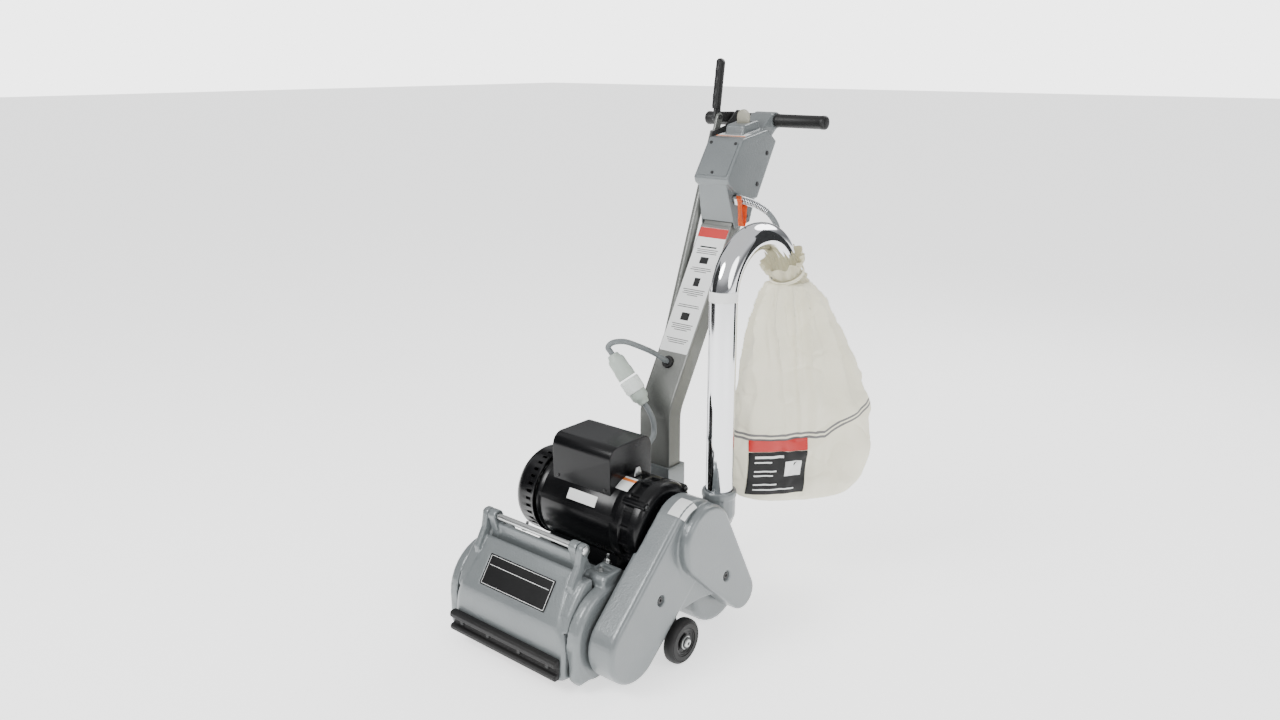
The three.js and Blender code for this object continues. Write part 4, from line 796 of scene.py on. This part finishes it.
for k in range(4):
    ring = drawn_out(pipe, ring, Vector((0, 0, (pipe_bend_z - pipe_low) / 4000)))
bend_centre = at(pipe_x, pipe_y + pipe_bend_r, pipe_bend_z)
ring_verts = list({v for e in ring for v in e.verts})
spun = bmesh.ops.spin(pipe, geom=ring + ring_verts, cent=bend_centre, axis=(-1, 0, 0),
                      angle=math.radians(pipe_turn), steps=48)["geom_last"]
ring = [e for e in spun if isinstance(e, bmesh.types.BMEdge)]
turn_end = math.radians(pipe_turn)
ring = drawn_out(pipe, ring, Vector((0, math.sin(turn_end), math.cos(turn_end))) * pipe_tail / 1000)
bmesh.ops.remove_doubles(pipe, verts=pipe.verts, dist=1e-6)
bmesh.ops.recalc_face_normals(pipe, faces=pipe.faces)
if sum(f.normal.dot(f.calc_center_median() - at(pipe_x, pipe_y, f.calc_center_median().z * 1000))
       for f in pipe.faces if f.calc_center_median().z < pipe_bend_z / 1000) < 0:
    bmesh.ops.reverse_faces(pipe, faces=pipe.faces)
pipe_mesh = worked(pipe, ("SOLIDIFY", dict(thickness=0.0016, offset=-1, use_rim=True)))
piece("chrome_pipe", pipe_mesh, "machine", chrome, stands_for=["dust_pipe"])
piece("pipe_band", lathe([(pipe_r + 0.1, 634), (pipe_r + 0.6, 634), (pipe_r + 0.6, 653), (pipe_r + 0.1, 653)],
                         at(pipe_x, pipe_y, 0), axis=(0, 0, 1), steps=64, closed=True), "machine",
                         label_white)

# ---- Wheel truck, wheels and caster.
# Solid rubber tyres on stepped black hubs, each with a bright bearing, run on one steel axle. The cradle
# that carries them swings in the frame's end bays; a small swivel caster holds up the rear.
wheel_at = (115, 42)
for side, word in ((-1, "left"), (1, "right")):
    tyre = lathe([(r, side * x) for r, x in
                  ((26.3, 218), (36, 218), (39, 219.4), (41.2, 222), (42, 226), (42, 232), (41.2, 236),
                   (39, 238.6),
                   (36.5, 240), (35.5, 239.2), (34.5, 240), (26.3, 240))], at(0, *wheel_at), steps=72,
                   closed=True)
    piece(f"tyre_{word}", tyre, f"wheel_{word}", rubber, stands_for=[f"wheel_tyre_{word}"])
    hub = lathe([(r, side * x) for r, x in
                 ((8.3, 213), (14, 213), (14, 217), (26, 218.5), (26, 238), (25, 239), (23.4, 239),
                  (22.6, 237.2),
                  (20.5, 236.6), (19.5, 235.4), (14.6, 235.4), (14.6, 238.6), (12.6, 238.8), (12.6, 236.5),
                  (8.3, 236.5))], at(0, *wheel_at), steps=56, closed=True)
    holes = [lathe([(0, side * 233.6), (1.6, side * 233.6), (1.6, side * 237), (0, side * 237)],
                   at(0, wheel_at[0] + 17.2 * math.cos(math.radians(a)),
                      wheel_at[1] + 17.2 * math.sin(math.radians(a))), steps=12) for a in range(30, 390, 60)]
    piece(f"hub_{word}", carved(hub, holes), f"wheel_{word}", black_plastic, stands_for=[f"wheel_hub_{word}"])
    bearing = lathe([(r, side * x) for r, x in ((8.4, 237), (12.3, 237), (12.3, 240.6), (11, 241.4),
                                                (9.6, 241.4),
                                                (9.4, 240.4), (8.4, 240.4))], at(0, *wheel_at), steps=40,
                                                closed=True)
    piece(f"wheel_bearing_{word}", bearing, f"wheel_{word}", bright_steel)
    retainer = together(lathe([(0, side * 243.6), (3.4, side * 243.6), (3.4, side * 246), (2, side * 246.4),
                               (0, side * 246.4)], at(0, *wheel_at), steps=20),
                        lathe([(r, side * x) for r, x in ((8.05, 242.2), (11, 242.2), (11, 243.2),
                                                          (8.05, 243.2))],
                              at(0, *wheel_at), steps=28, closed=True))
    piece(f"axle_clip_{word}", retainer, "truck", black_steel)
piece("axle_rod", lathe([(0, -246), (5.2, -246), (7, -245.2), (8, -243.6), (8, 243.6), (7, 245.2), (5.2, 246),
                         (0, 246)], at(0, *wheel_at), steps=36), "truck", bright_steel,
                         stands_for=["wheel_axle"])
piece("truck_cradle", cast_skin(merged_copy("wheel_truck"), 1.7, ease=4, keep=0.3), "truck", black_steel,
      stands_for=["wheel_truck"])
piece("caster_yoke", cast_skin(merged_copy("caster_fork"), 1.2, ease=3, keep=0.35), "caster", bright_steel,
      stands_for=["caster_fork"])
caster_middle = at(0, 342, 29)
piece("caster_roller_tyre", lathe([(4.3, -13), (9, -13), (10.5, -11.5), (20, -11.5), (21, -12), (27, -12),
                                   (28.6, -10.5), (29, -8.5), (29, 8.5), (28.6, 10.5), (27, 12), (21, 12),
                                   (20, 11.5),
                                   (10.5, 11.5), (9, 13), (4.3, 13)], caster_middle, steps=64, closed=True),
      "caster_roller", rubber, stands_for=["caster_wheel"])

# ---- Post.
# A folded rectangular tube in darker grey hammered enamel, with one long generic label on its front.
piece("post_tube", cast_skin(merged_copy("handle_post"), 1.4, ease=4, keep=0.25), "machine", post_enamel,
      stands_for=["handle_post"])
lean = math.radians(30)
post_up = Vector((0, math.sin(lean), math.cos(lean)))
post_off = Vector((0, -math.cos(lean), math.sin(lean)))
kink = at(0, 335, 375.8)


def on_post(along, lift=0.15):
    return kink + (post_up * along + post_off * (19 + lift)) / 1000


piece("post_label", tile(on_post(246), X, post_up, post_off, 70, 268, 0.2, corner=3), "machine", label_white)
piece("post_label_band", tile(on_post(369, 0.36), X, post_up, post_off, 70, 21, 0.15, corner=2), "machine",
      label_red)
marks = []
for along, wide, tall in ((348, 40, 3), (342, 52, 1.4), (338, 48, 1.4), (334, 50, 1.4), (319, 20, 14),
                          (302, 46, 1.4), (298, 52, 1.4), (294, 30, 1.4), (272, 14, 18), (255, 54, 1.4),
                          (251, 48, 1.4), (247, 52, 1.4), (243, 26, 1.4), (222, 50, 1.4), (218, 54, 1.4),
                          (198, 20, 16), (181, 52, 1.4), (177, 46, 1.4), (173, 50, 1.4), (169, 32, 1.4),
                          (150, 54, 1.4), (146, 48, 1.4), (142, 40, 1.4)):
    marks.append(tile(on_post(along - 10, 0.36), X, post_up, post_off, wide, tall, 0.12, corner=0.5))
piece("post_label_marks", together(*marks), "machine", label_black)

# ---- Dust bag.
# A seamed canvas bag tied round the pipe's tail. It is lofted through ten levels, blown out a little and
# left to sag by the cloth solver, then creased, gathered at the neck and given its stripes and label.
def cross(c, half_wide, half_thick, a, power):
    ca, sa = math.cos(a), math.sin(a)
    u = math.copysign(abs(ca) ** (2 / power), ca) * half_wide
    v = math.copysign(abs(sa) ** (2 / power), sa) * half_thick
    return at(c[0] + u * wide_way.x + v * thick_way.x, c[1] + u * wide_way.y + v * thick_way.y, c[2])


bag_heading = math.radians(50)
wide_way = Vector((math.cos(bag_heading), math.sin(bag_heading), 0))
thick_way = Vector((-math.sin(bag_heading), math.cos(bag_heading), 0))
bag_levels = [(206, 514, 192, 84, 15), (208, 517, 203, 116, 40), (210, 521, 234, 140, 60),
              (212, 523, 290, 149, 66), (213, 524, 345, 149, 68), (213, 522, 410, 140, 68),
              (211, 515, 480, 121, 62), (206, 504, 545, 93, 54), (200, 491, 600, 62, 44),
              (196, 481, 636, 42, 38)]
bag_shape = bmesh.new()
around = 96
rows = []
for k, (cx, cy, cz, half_wide, half_thick) in enumerate(bag_levels):
    power = 2.6 if k < 6 else 2.2
    rows.append([bag_shape.verts.new(cross((cx, cy, cz), half_wide, half_thick, math.tau * j / around, power))
                 for j in range(around)])
skinned(bag_shape, rows)
bag_shape.faces.new(rows[0][::-1])
bag_shape.faces.new(rows[-1])
bmesh.ops.subdivide_edges(bag_shape, edges=[e for e in bag_shape.edges
                                            if abs(e.verts[0].co.z - e.verts[1].co.z) > 0.004], cuts=4)
blank = worked(bag_shape, ("REMESH", dict(mode="VOXEL", voxel_size=0.0062)),
               ("SMOOTH", dict(factor=0.5, iterations=4)))
blank.name = "bag_blank"
bag = bpy.data.objects.new("bag_blank", blank)
bpy.context.scene.collection.objects.link(bag)
neck_top = at(0, 0, 622).z
held = bag.vertex_groups.new(name="held")
for v in blank.vertices:
    grip = min(1.0, max(0.0, (v.co.z - neck_top + 0.03) / 0.03))
    if grip > 0:
        held.add([v.index], grip, "REPLACE")
solver = bag.modifiers.new("Cloth", "CLOTH")
cloth = solver.settings
cloth.quality = 5
cloth.mass = 0.35
cloth.tension_stiffness = cloth.compression_stiffness = cloth.shear_stiffness = 22
cloth.bending_stiffness = 2.2
cloth.use_pressure = True
cloth.uniform_pressure_force = 3.2
cloth.vertex_group_mass = "held"
cloth.shrink_min = -0.035
cloth.effector_weights.gravity = 0.25
solver.collision_settings.use_collision = False
solver.collision_settings.use_self_collision = False
for step in range(1, 19):
    bpy.context.scene.frame_set(step)
blown = bpy.data.meshes.new_from_object(bag.evaluated_get(bpy.context.evaluated_depsgraph_get()))
most = max((a.co - b.co).length for a, b in zip(blown.vertices, blank.vertices))
ease = min(1.0, 0.02 / max(most, 1e-6))
for v, w in zip(blown.vertices, blank.vertices):
    v.co = w.co.lerp(v.co, ease)
bag.modifiers.remove(solver)
bag.data = blown
bpy.context.scene.frame_set(1)
bag_bm = bmesh.new()
bag_bm.from_mesh(bag.data)
bpy.data.objects.remove(bag)
bmesh.ops.subdivide_edges(bag_bm, edges=bag_bm.edges[:], cuts=1, smooth=0.6, use_grid_fill=True)

# Long soft folds run down from the neck, lie in slack rolls over the belly and gather where it is tied.
def soft_fold(value):
    return 1 - abs(math.sin(value))


for v in bag_bm.verts:
    p = (v.co - home) * 1000
    low = min(1.0, max(0.0, (p.z - 190) / 60))
    up = min(1.0, max(0.0, (p.z - 400) / 200))
    centre = Vector((206 - 10 * up, 517 - 34 * up, p.z))
    out = Vector((p.x - centre.x, p.y - centre.y, 0))
    if out.length < 1:
        continue
    turn = math.atan2(out.dot(thick_way), out.dot(wide_way))
    out.normalize()
    drift = noise.noise(Vector((p.x, p.y, p.z * 0.5)) * 0.011) * 2.2
    reach = min(1.0, max(0.0, (p.z - 300) / 300))
    neck_folds = ((soft_fold(turn * 5.5 + drift) ** 1.6 - 0.35) * 13 * reach
                  + (soft_fold(turn * 11 + 1.7 * drift) ** 2 - 0.3) * 5 * up) * min(1.0, (660 - p.z) / 60)
    roll = soft_fold((p.z + 34 * math.sin(turn * 2 + drift)) * 0.021 + drift * 1.2)
    slack = (roll - 0.45) * 5.0 * (1 - up) * low
    lumps = noise.noise(Vector((p.x * 0.012, p.y * 0.012, p.z * 0.017 + 7))) * 9 * (1 - 0.6 * up) * low
    small = noise.noise(Vector((p.x * 0.045, p.y * 0.045, p.z * 0.028 + 3))) * 2.2
    creases = -2.4 * max(0.0, 1 - abs(noise.noise(Vector((p.x * 0.016, p.y * 0.016,
                                                          p.z * 0.02 + 11))) * 9)) * low
    v.co += out * (neck_folds + slack + lumps + small + creases) / 1000
# The ruffled collar stands round the pipe above the tie and opens outwards in twelve flutes.
tail_way = Vector((0, math.sin(turn_end), math.cos(turn_end)))


collar_rings, collar_around = 14, 144


def ruffle():
    """The collar's skin: closed rings along the pipe, fluted most at both ends."""
    shape = bmesh.new()
    loops = []
    for k in range(collar_rings + 1):
        t = k / collar_rings
        open_out = 1 - math.sin(math.pi * min(1, t * 1.25)) * 0.26
        loop = []
        for j in range(collar_around):
            a = math.tau * j / collar_around
            flute = math.sin(13 * a + 1.3 * math.sin(3 * a)) * (1.0 + 3.4 * abs(t - 0.34) / 0.66)
            r = 37 * open_out + flute + 6 * max(0.0, t - 0.5)
            r = max(r, 27.6)
            tilted = tail_way.orthogonal().normalized()
            other = tail_way.cross(tilted)
            centre = neck_centre - tail_way * (t * 62 - 24) / 1000
            wave = 2.5 * math.sin(7 * a + 1) * max(0.0, t - 0.7) / 0.3
            loop.append(shape.verts.new(centre - tail_way * wave / 1000
                                        + (tilted * math.cos(a) + other * math.sin(a)) * r / 1000))
        loops.append(loop)
    skinned(shape, loops)
    return shape


neck_centre = at(194, 476, 652)
collar = ruffle()
bmesh.ops.solidify(collar, geom=collar.faces[:], thickness=0.0014)
bmesh.ops.recalc_face_normals(collar, faces=collar.faces)

canvas = finish("cream_canvas", (0.87, 0.835, 0.67), (0.80, 0.765, 0.60), 0.88, scale=1500, depth=0.7,
                sheen=0.25,
                spread=0.06)
weave = canvas.node_tree
skin = weave.nodes["Principled BSDF"]
where = weave.nodes.new("ShaderNodeTexCoord").outputs["Object"]
threads = texture(weave, "ShaderNodeTexWave", where, Scale=260.0, Distortion=1.5, bands_direction="Z")
threads_up = texture(weave, "ShaderNodeTexWave", where, Scale=240.0, Distortion=1.5,
                     bands_direction="DIAGONAL")
weft = weave.nodes.new("ShaderNodeBump")
weft.inputs["Strength"].default_value = 0.25
weft.inputs["Distance"].default_value = 0.0004
weave.links.new(reckon(weave, "ADD", threads.outputs["Fac"], threads_up.outputs["Fac"]),
                weft.inputs["Height"])
weave.links.new(skin.inputs["Normal"].links[0].from_socket, weft.inputs["Normal"])
weave.links.new(weft.outputs["Normal"], skin.inputs["Normal"])
stripe_height = weave.nodes.new("ShaderNodeSeparateXYZ")
weave.links.new(where, stripe_height.inputs[0])
stripe = None
along_width = weave.nodes.new("ShaderNodeVectorMath")
along_width.operation = "DOT_PRODUCT"
weave.links.new(where, along_width.inputs[0])
along_width.inputs[1].default_value = wide_way
rise_from = at(208, 520, 0).dot(wide_way) + 0.035
beyond = reckon(weave, "MAXIMUM", reckon(weave, "SUBTRACT", along_width.outputs["Value"], rise_from), 0.0)
level = reckon(weave, "MULTIPLY_ADD", beyond, -0.55, stripe_height.outputs["Z"])
for middle in (0.331, 0.340):
    off = reckon(weave, "ABSOLUTE", reckon(weave, "SUBTRACT", level, middle))
    line = reckon(weave, "LESS_THAN", off, 0.0025)
    stripe = line if stripe is None else reckon(weave, "MAXIMUM", stripe, line)
dyed = weave.nodes.new("ShaderNodeMix")
dyed.data_type = "RGBA"
dyed.inputs["B"].default_value = (0.045, 0.05, 0.075, 1)
weave.links.new(reckon(weave, "MULTIPLY", stripe, 0.85), dyed.inputs["Factor"])
weave.links.new(skin.inputs["Base Color"].links[0].from_socket, dyed.inputs["A"])
weave.links.new(dyed.outputs["Result"], skin.inputs["Base Color"])

# The sewn-on label lies on the belly and follows its folds: a red band over a black panel.
tree_of_bag = bvhtree.BVHTree.FromBMesh(bag_bm)
label_left, label_right = Vector((198, 364)), Vector((281, 468))
label_out = Vector((math.sin(math.radians(51.4)), -math.cos(math.radians(51.4)), 0))


def bag_label(s0, s1, z0, z1, lift):
    shape = bmesh.new()
    bmesh.ops.create_grid(shape, x_segments=30, y_segments=30, size=0.5)
    for v in shape.verts:
        s, z = s0 + (s1 - s0) * (v.co.x + 0.5), z0 + (z1 - z0) * (v.co.y + 0.5)
        flat = label_left.lerp(label_right, s)
        begin = at(flat.x, flat.y, z) + label_out * 0.15
        hit = tree_of_bag.ray_cast(begin, -label_out)[0]
        v.co = (hit if hit else at(flat.x, flat.y, z)) + label_out * lift / 1000
    for _ in range(3):
        bmesh.ops.smooth_vert(shape, verts=shape.verts, factor=0.4, use_axis_x=True, use_axis_y=True,
                              use_axis_z=True)
    bmesh.ops.solidify(shape, geom=shape.faces[:], thickness=0.0006)
    bmesh.ops.recalc_face_normals(shape, faces=shape.faces)
    return shape


label_parts = [("bag_label_panel", label_black, (0.06, 0.97, 208, 306, 1.6)),
               ("bag_label_band", label_red, (0.06, 0.97, 306, 330, 1.7))]
for name, look, place_on in label_parts:
    piece(name, bag_label(*place_on), "machine", look)
rows_of_marks = [bag_label(0.16, 0.60, 292, 297, 2.3), bag_label(0.16, 0.42, 282, 285, 2.3),
                 bag_label(0.62, 0.88, 250, 284, 2.3), bag_label(0.16, 0.50, 262, 265, 2.3),
                 bag_label(0.16, 0.45, 252, 255, 2.3), bag_label(0.16, 0.52, 232, 235, 2.3),
                 bag_label(0.16, 0.80, 220, 223, 2.3)]
piece("bag_label_marks", together(*rows_of_marks), "machine", label_white)
bag_made = piece("canvas_bag", bag_bm, "machine", canvas, sharp=80, stands_for=["dust_bag"])
piece("bag_collar", collar, "machine", canvas, sharp=80)
piece("bag_drawstring", together(*[lathe([(r, d + lift) for r, d in
                                          [(33 + 1.7 * math.cos(math.radians(45 * k)),
                                            1.7 * math.sin(math.radians(45 * k))) for k in range(8)]],
                                         neck_centre, axis=-tail_way, steps=64, closed=True)
                                   for lift in (-1.9, 1.9)]), "machine", canvas)

# ---- Lift lever, rod and bracket.
# A long round rod runs up behind the post to a bent steel lever. Its moulded grip has finger ribs, and
# dark bolts with washers make the two pivots.
piece("rod_bar", cast_skin(merged_copy("lift_rod"), 1.1, ease=3, keep=0.3), "rod", post_enamel,
      stands_for=["lift_rod"])
grip_low, grip_top = Vector((0, 588, 946)), Vector((0, 602, 1046))
grip_up = (grip_top - grip_low).normalized()
grip_off = Vector((0, -grip_up.z, grip_up.y))
grip_long = (grip_top - grip_low).length
grip_steps, grip_around, finger_pitch = 60, 36, 25
grip_shape = bmesh.new()
grip_rings = []
for k in range(grip_steps + 1):
    s = grip_long * k / grip_steps
    cap = min(1.0, math.sqrt(max(0.0, 1 - ((s - grip_long + 9) / 9) ** 2)) if s > grip_long - 9 else
              0.86 + 0.14 * min(1.0, s / 6))
    cap = max(cap, 0.02)
    finger = 1.9 * abs(math.sin(math.pi * s / finger_pitch))
    middle = grip_low + grip_up * s
    ring_now = []
    for j in range(grip_around):
        a = math.tau * j / grip_around
        front = math.cos(a)
        deep = (11.3 - (finger if front > 0 else 0) * front) * cap
        ca, sa = math.cos(a), math.sin(a)
        u = math.copysign(abs(ca) ** 0.8, ca) * deep
        v = math.copysign(abs(sa) ** 0.8, sa) * 7.4 * cap
        spot = middle + grip_off * u
        ring_now.append(grip_shape.verts.new(at(-61 + v, spot.y, spot.z)))
    grip_rings.append(ring_now)
skinned(grip_shape, grip_rings)
grip_shape.faces.new(grip_rings[0][::-1])
grip_shape.faces.new(grip_rings[-1])
bmesh.ops.recalc_face_normals(grip_shape, faces=grip_shape.faces)
piece("lever_hand_grip", grip_shape, "lever", grip_rubber, sharp=60, stands_for=["lever_grip"])
piece("lever_arm", cast_skin(merged_copy("lift_lever"), 0.9, ease=2, keep=0.35), "lever", black_steel,
      stands_for=["lift_lever"])

# ---- Switch housing, handlebar and paddle.
# A cast box in grey enamel closes the post. The bar runs through its boss between two ribbed grips,
# and a beige paddle on the top turns the machine on.
piece("housing_casting", cast_skin(merged_copy("switch_housing"), 1.5, ease=6, keep=0.35), "machine", enamel,
      stands_for=["switch_housing"])
housing_screws = []
for side in (-1, 1):
    for y, z in ((626, 859), (593, 799), (557, 738)):
        housing_screws.append(bolt_head(at(side * 41.6, y, z), (side, 0, 0), 7, 2.2, washer=5))
piece("housing_screws", together(*housing_screws), "machine", black_steel)
cover_up = Vector((0, 50, 75)).normalized()
cover_off = Vector((0, -75, 50)).normalized()
face_plate = tile(at(0, 514, 854.6), X, cover_up, cover_off, 72, 78, 1.2, corner=4)
piece("housing_face_plate", face_plate, "machine", enamel)
face_screws = [bolt_head(at(x, 514 + s * 0.555, 854.6 + s * 0.832) + cover_off * 0.0011, cover_off, 6, 2)
               for x, s in ((-30, 33), (30, 33), (0, -33))]
piece("housing_face_screws", together(*face_screws), "machine", black_steel)
top_up = Vector((0, 89, 14)).normalized()
top_off = Vector((0, -14, 89)).normalized()
piece("switch_label", tile(at(0, 566, 896.6), X, top_up, top_off, 70, 26, 0.25, corner=2), "machine",
      label_white)
piece("switch_label_edge", tile(at(0, 556, 895.3), X, top_up, top_off, 70, 5, 0.2, corner=1), "machine",
      label_orange)

# The post's inner tube carries on up into the housing and closes the joint between them.
joint_tube = tile(on_post(360, -19), X, post_off, post_up, 70.6, 32.6, 62, corner=2.5)
piece("post_joint_tube", joint_tube, "machine", post_enamel)

bar_middle = at(0, 678, 921)
piece("bar_tube", lathe([(0, -143), (9, -143), (11, -141), (11, 141), (9, 143), (0, 143)], bar_middle,
                        steps=40),
      "machine", bright_steel, stands_for=["handlebar"])
for side, word, inner in ((-1, "left", 24), (1, "right", 30)):
    profile = [(11.6, inner), (13.2, inner), (14.2, inner + 1.4), (14.2, inner + 5), (13.6, inner + 6.5),
               (13.6, 136), (14.1, 138), (14.1, 144.5), (12.6, 147), (9.6, 148), (0, 148), (0, 143.4),
               (11.6, 143.4)]
    grip = lathe([(r, side * d) for r, d in profile], bar_middle, steps=48, closed=False)
    piece(f"bar_grip_{word}", grip, "machine", grip_rubber, sharp=50, stands_for=[f"grip_{word}"])
disc = lathe([(0, -3.5), (12.8, -3.5), (14.4, -2.7), (15, -1.4), (15, 1.4), (14.4, 2.7), (12.8, 3.5),
              (8, 3.9),
              (0, 4.1)], at(0, 599.5, 931), axis=(0, -1, 0), steps=56)
stalk = bmesh.new()
bmesh.ops.create_cube(stalk, size=1, matrix=Matrix.Translation(at(0, 599.5, 917)) @ Matrix.Diagonal(
    (0.029, 0.0066, 0.026, 1)))
bmesh.ops.bevel(stalk, geom=stalk.edges[:], offset=0.0015, offset_type="OFFSET", segments=3, profile=0.5,
                affect="EDGES", clamp_overlap=True, material=-1)
piece("paddle_disc", carved(disc, [stalk], "UNION"), "paddle", beige, stands_for=["switch_paddle"])

# ---- Gland, strap and connectors.
# A coiled chrome spring guards the supply lead where it leaves the gland. An orange strap hangs from it,
# and the in-line connector is two moulded halves with a paler collar between them.
gland_at, gland_way = at(35.2, 523, 774), Vector((44.8, 3, -2)).normalized()
piece("gland_body", together(
    lathe([(6.2, 0), (8, 0), (8, 7.4), (6.2, 7.4)], gland_at, axis=gland_way, steps=36, closed=True),
    lathe([(6.2, 7.5), (12.4, 7.5), (12.4, 14.6), (11.4, 15.2), (6.2, 15.2)], gland_at, axis=gland_way,
          steps=6,
          closed=True),
    lathe([(6.2, 15.3), (9.4, 15.3), (9.4, 20.4), (8.4, 22), (6.2, 22)], gland_at, axis=gland_way, steps=36,
          closed=True)), "machine", bright_steel, stands_for=["supply_gland"])
spring_line = flowing([at(*p) for p in supply_route], 24)
spring_start, spring_end, spring_pitch = 0.020, 0.078, 0.0034
spring_points, run = [], 0.0
for a, b in zip(spring_line, spring_line[1:]):
    run += (b - a).length
    if not spring_start < run < spring_end:
        continue
    way = (b - a).normalized()
    side_way = way.cross(Vector((0, 1, 0))).normalized()
    over_way = way.cross(side_way)
    for k in range(4):
        turn = math.tau * (run + (b - a).length * k / 4) / spring_pitch
        spread = 0.0078 - 0.0012 * (run - spring_start) / (spring_end - spring_start)
        outward = side_way * math.cos(turn) + over_way * math.sin(turn)
        spring_points.append(a.lerp(b, k / 4) + outward * spread)
coil = round_line("spring", spring_points, 0.0009, 2)[0]
coil_mesh = bpy.data.meshes.new_from_object(settled(coil))
bpy.data.objects.remove(coil)
piece("gland_spring", coil_mesh, "machine", chrome, sharp=60)

strap_route = [Vector(p) for p in ((50, 517, 783), (55, 512, 779), (58, 510, 766), (59, 510, 748),
                                   (61, 510, 732),
                                   (63, 512, 724), (65, 516, 729), (64, 519, 742), (62, 521, 756),
                                   (60, 525, 766))]
strap = bmesh.new()
strap_line = flowing([at(*p) for p in strap_route], 8)
strap_rows = []
for k, p in enumerate(strap_line):
    wide_step = Vector((0.0055, 0.0015 * math.sin(k * 0.21), 0))
    strap_rows.append([strap.verts.new(p - wide_step), strap.verts.new(p), strap.verts.new(p + wide_step)])
for low, high in zip(strap_rows, strap_rows[1:]):
    for j in range(2):
        strap.faces.new((low[j], low[j + 1], high[j + 1], high[j]))
bmesh.ops.solidify(strap, geom=strap.faces[:], thickness=0.0012)
bmesh.ops.recalc_face_normals(strap, faces=strap.faces)
piece("gland_strap", strap, "machine", orange, sharp=60)

plug_top, plug_low = at(-57, 256, 493), at(8, 276, 401)
plug_way = (plug_low - plug_top).normalized()
socket_half = lathe([(6.1, 0), (9, 0), (11, 1.4), (12, 4), (12.6, 8), (15.6, 11), (17, 15), (17.2, 36),
                     (18.2, 38),
                     (18.2, 54), (6.1, 54)], plug_top, axis=plug_way, steps=56, closed=True)
piece("connector_upper_half", socket_half, "machine", plug_grey, sharp=40, stands_for=["connector_socket"])
plug_half = lathe([(6.1, 0), (8.6, 0), (10.6, 1.4), (11.4, 4), (12, 8), (15, 11), (17, 15), (17.4, 28),
                   (6.1, 28)],
                  plug_low, axis=-plug_way, steps=56, closed=True)
piece("connector_lower_half", plug_half, "machine", plug_grey, sharp=40, stands_for=["connector_plug"])
collar_parts = [lathe([(6.1, 28.3), (18.4, 28.3), (19.2, 29.2), (19.2, 56), (18.4, 57), (6.1, 57)], plug_low,
                      axis=-plug_way, steps=56, closed=True)]
for k in range(14):
    turn = Matrix.Rotation(math.tau * k / 14, 4, plug_way)
    rib = tile(plug_low - plug_way * 0.043 + turn @ plug_way.orthogonal().normalized() * 0.0188,
               turn @ plug_way.cross(plug_way.orthogonal()).normalized(), plug_way,
               turn @ plug_way.orthogonal().normalized(), 3, 24, 1.1, corner=0.8)
    collar_parts.append(rib)
piece("connector_ring", together(*collar_parts), "machine", plug_pale)
supply_end = lathe([(6.1, 0), (8.6, 0), (10, 2), (11, 6), (13.2, 9), (15.6, 14), (17, 24), (17, 42), (16, 44),
                    (0, 44), (0, 14), (6.1, 14)], at(96, 575, 384), axis=(0, 0, -1), steps=48)
piece("supply_plug_body", supply_end, "machine", plug_grey, sharp=40, stands_for=["supply_plug"])
pins = [lathe([(0, 43), (2.6, 43), (2.6, 57), (2, 58.6), (0, 58.6)],
              at(96 + 8.4 * math.cos(math.radians(a)), 575 + 8.4 * math.sin(math.radians(a)), 384),
              axis=(0, 0, -1),
              steps=16) for a in (90, 210, 330)]
piece("supply_plug_pins", together(*pins), "machine", bright_steel)
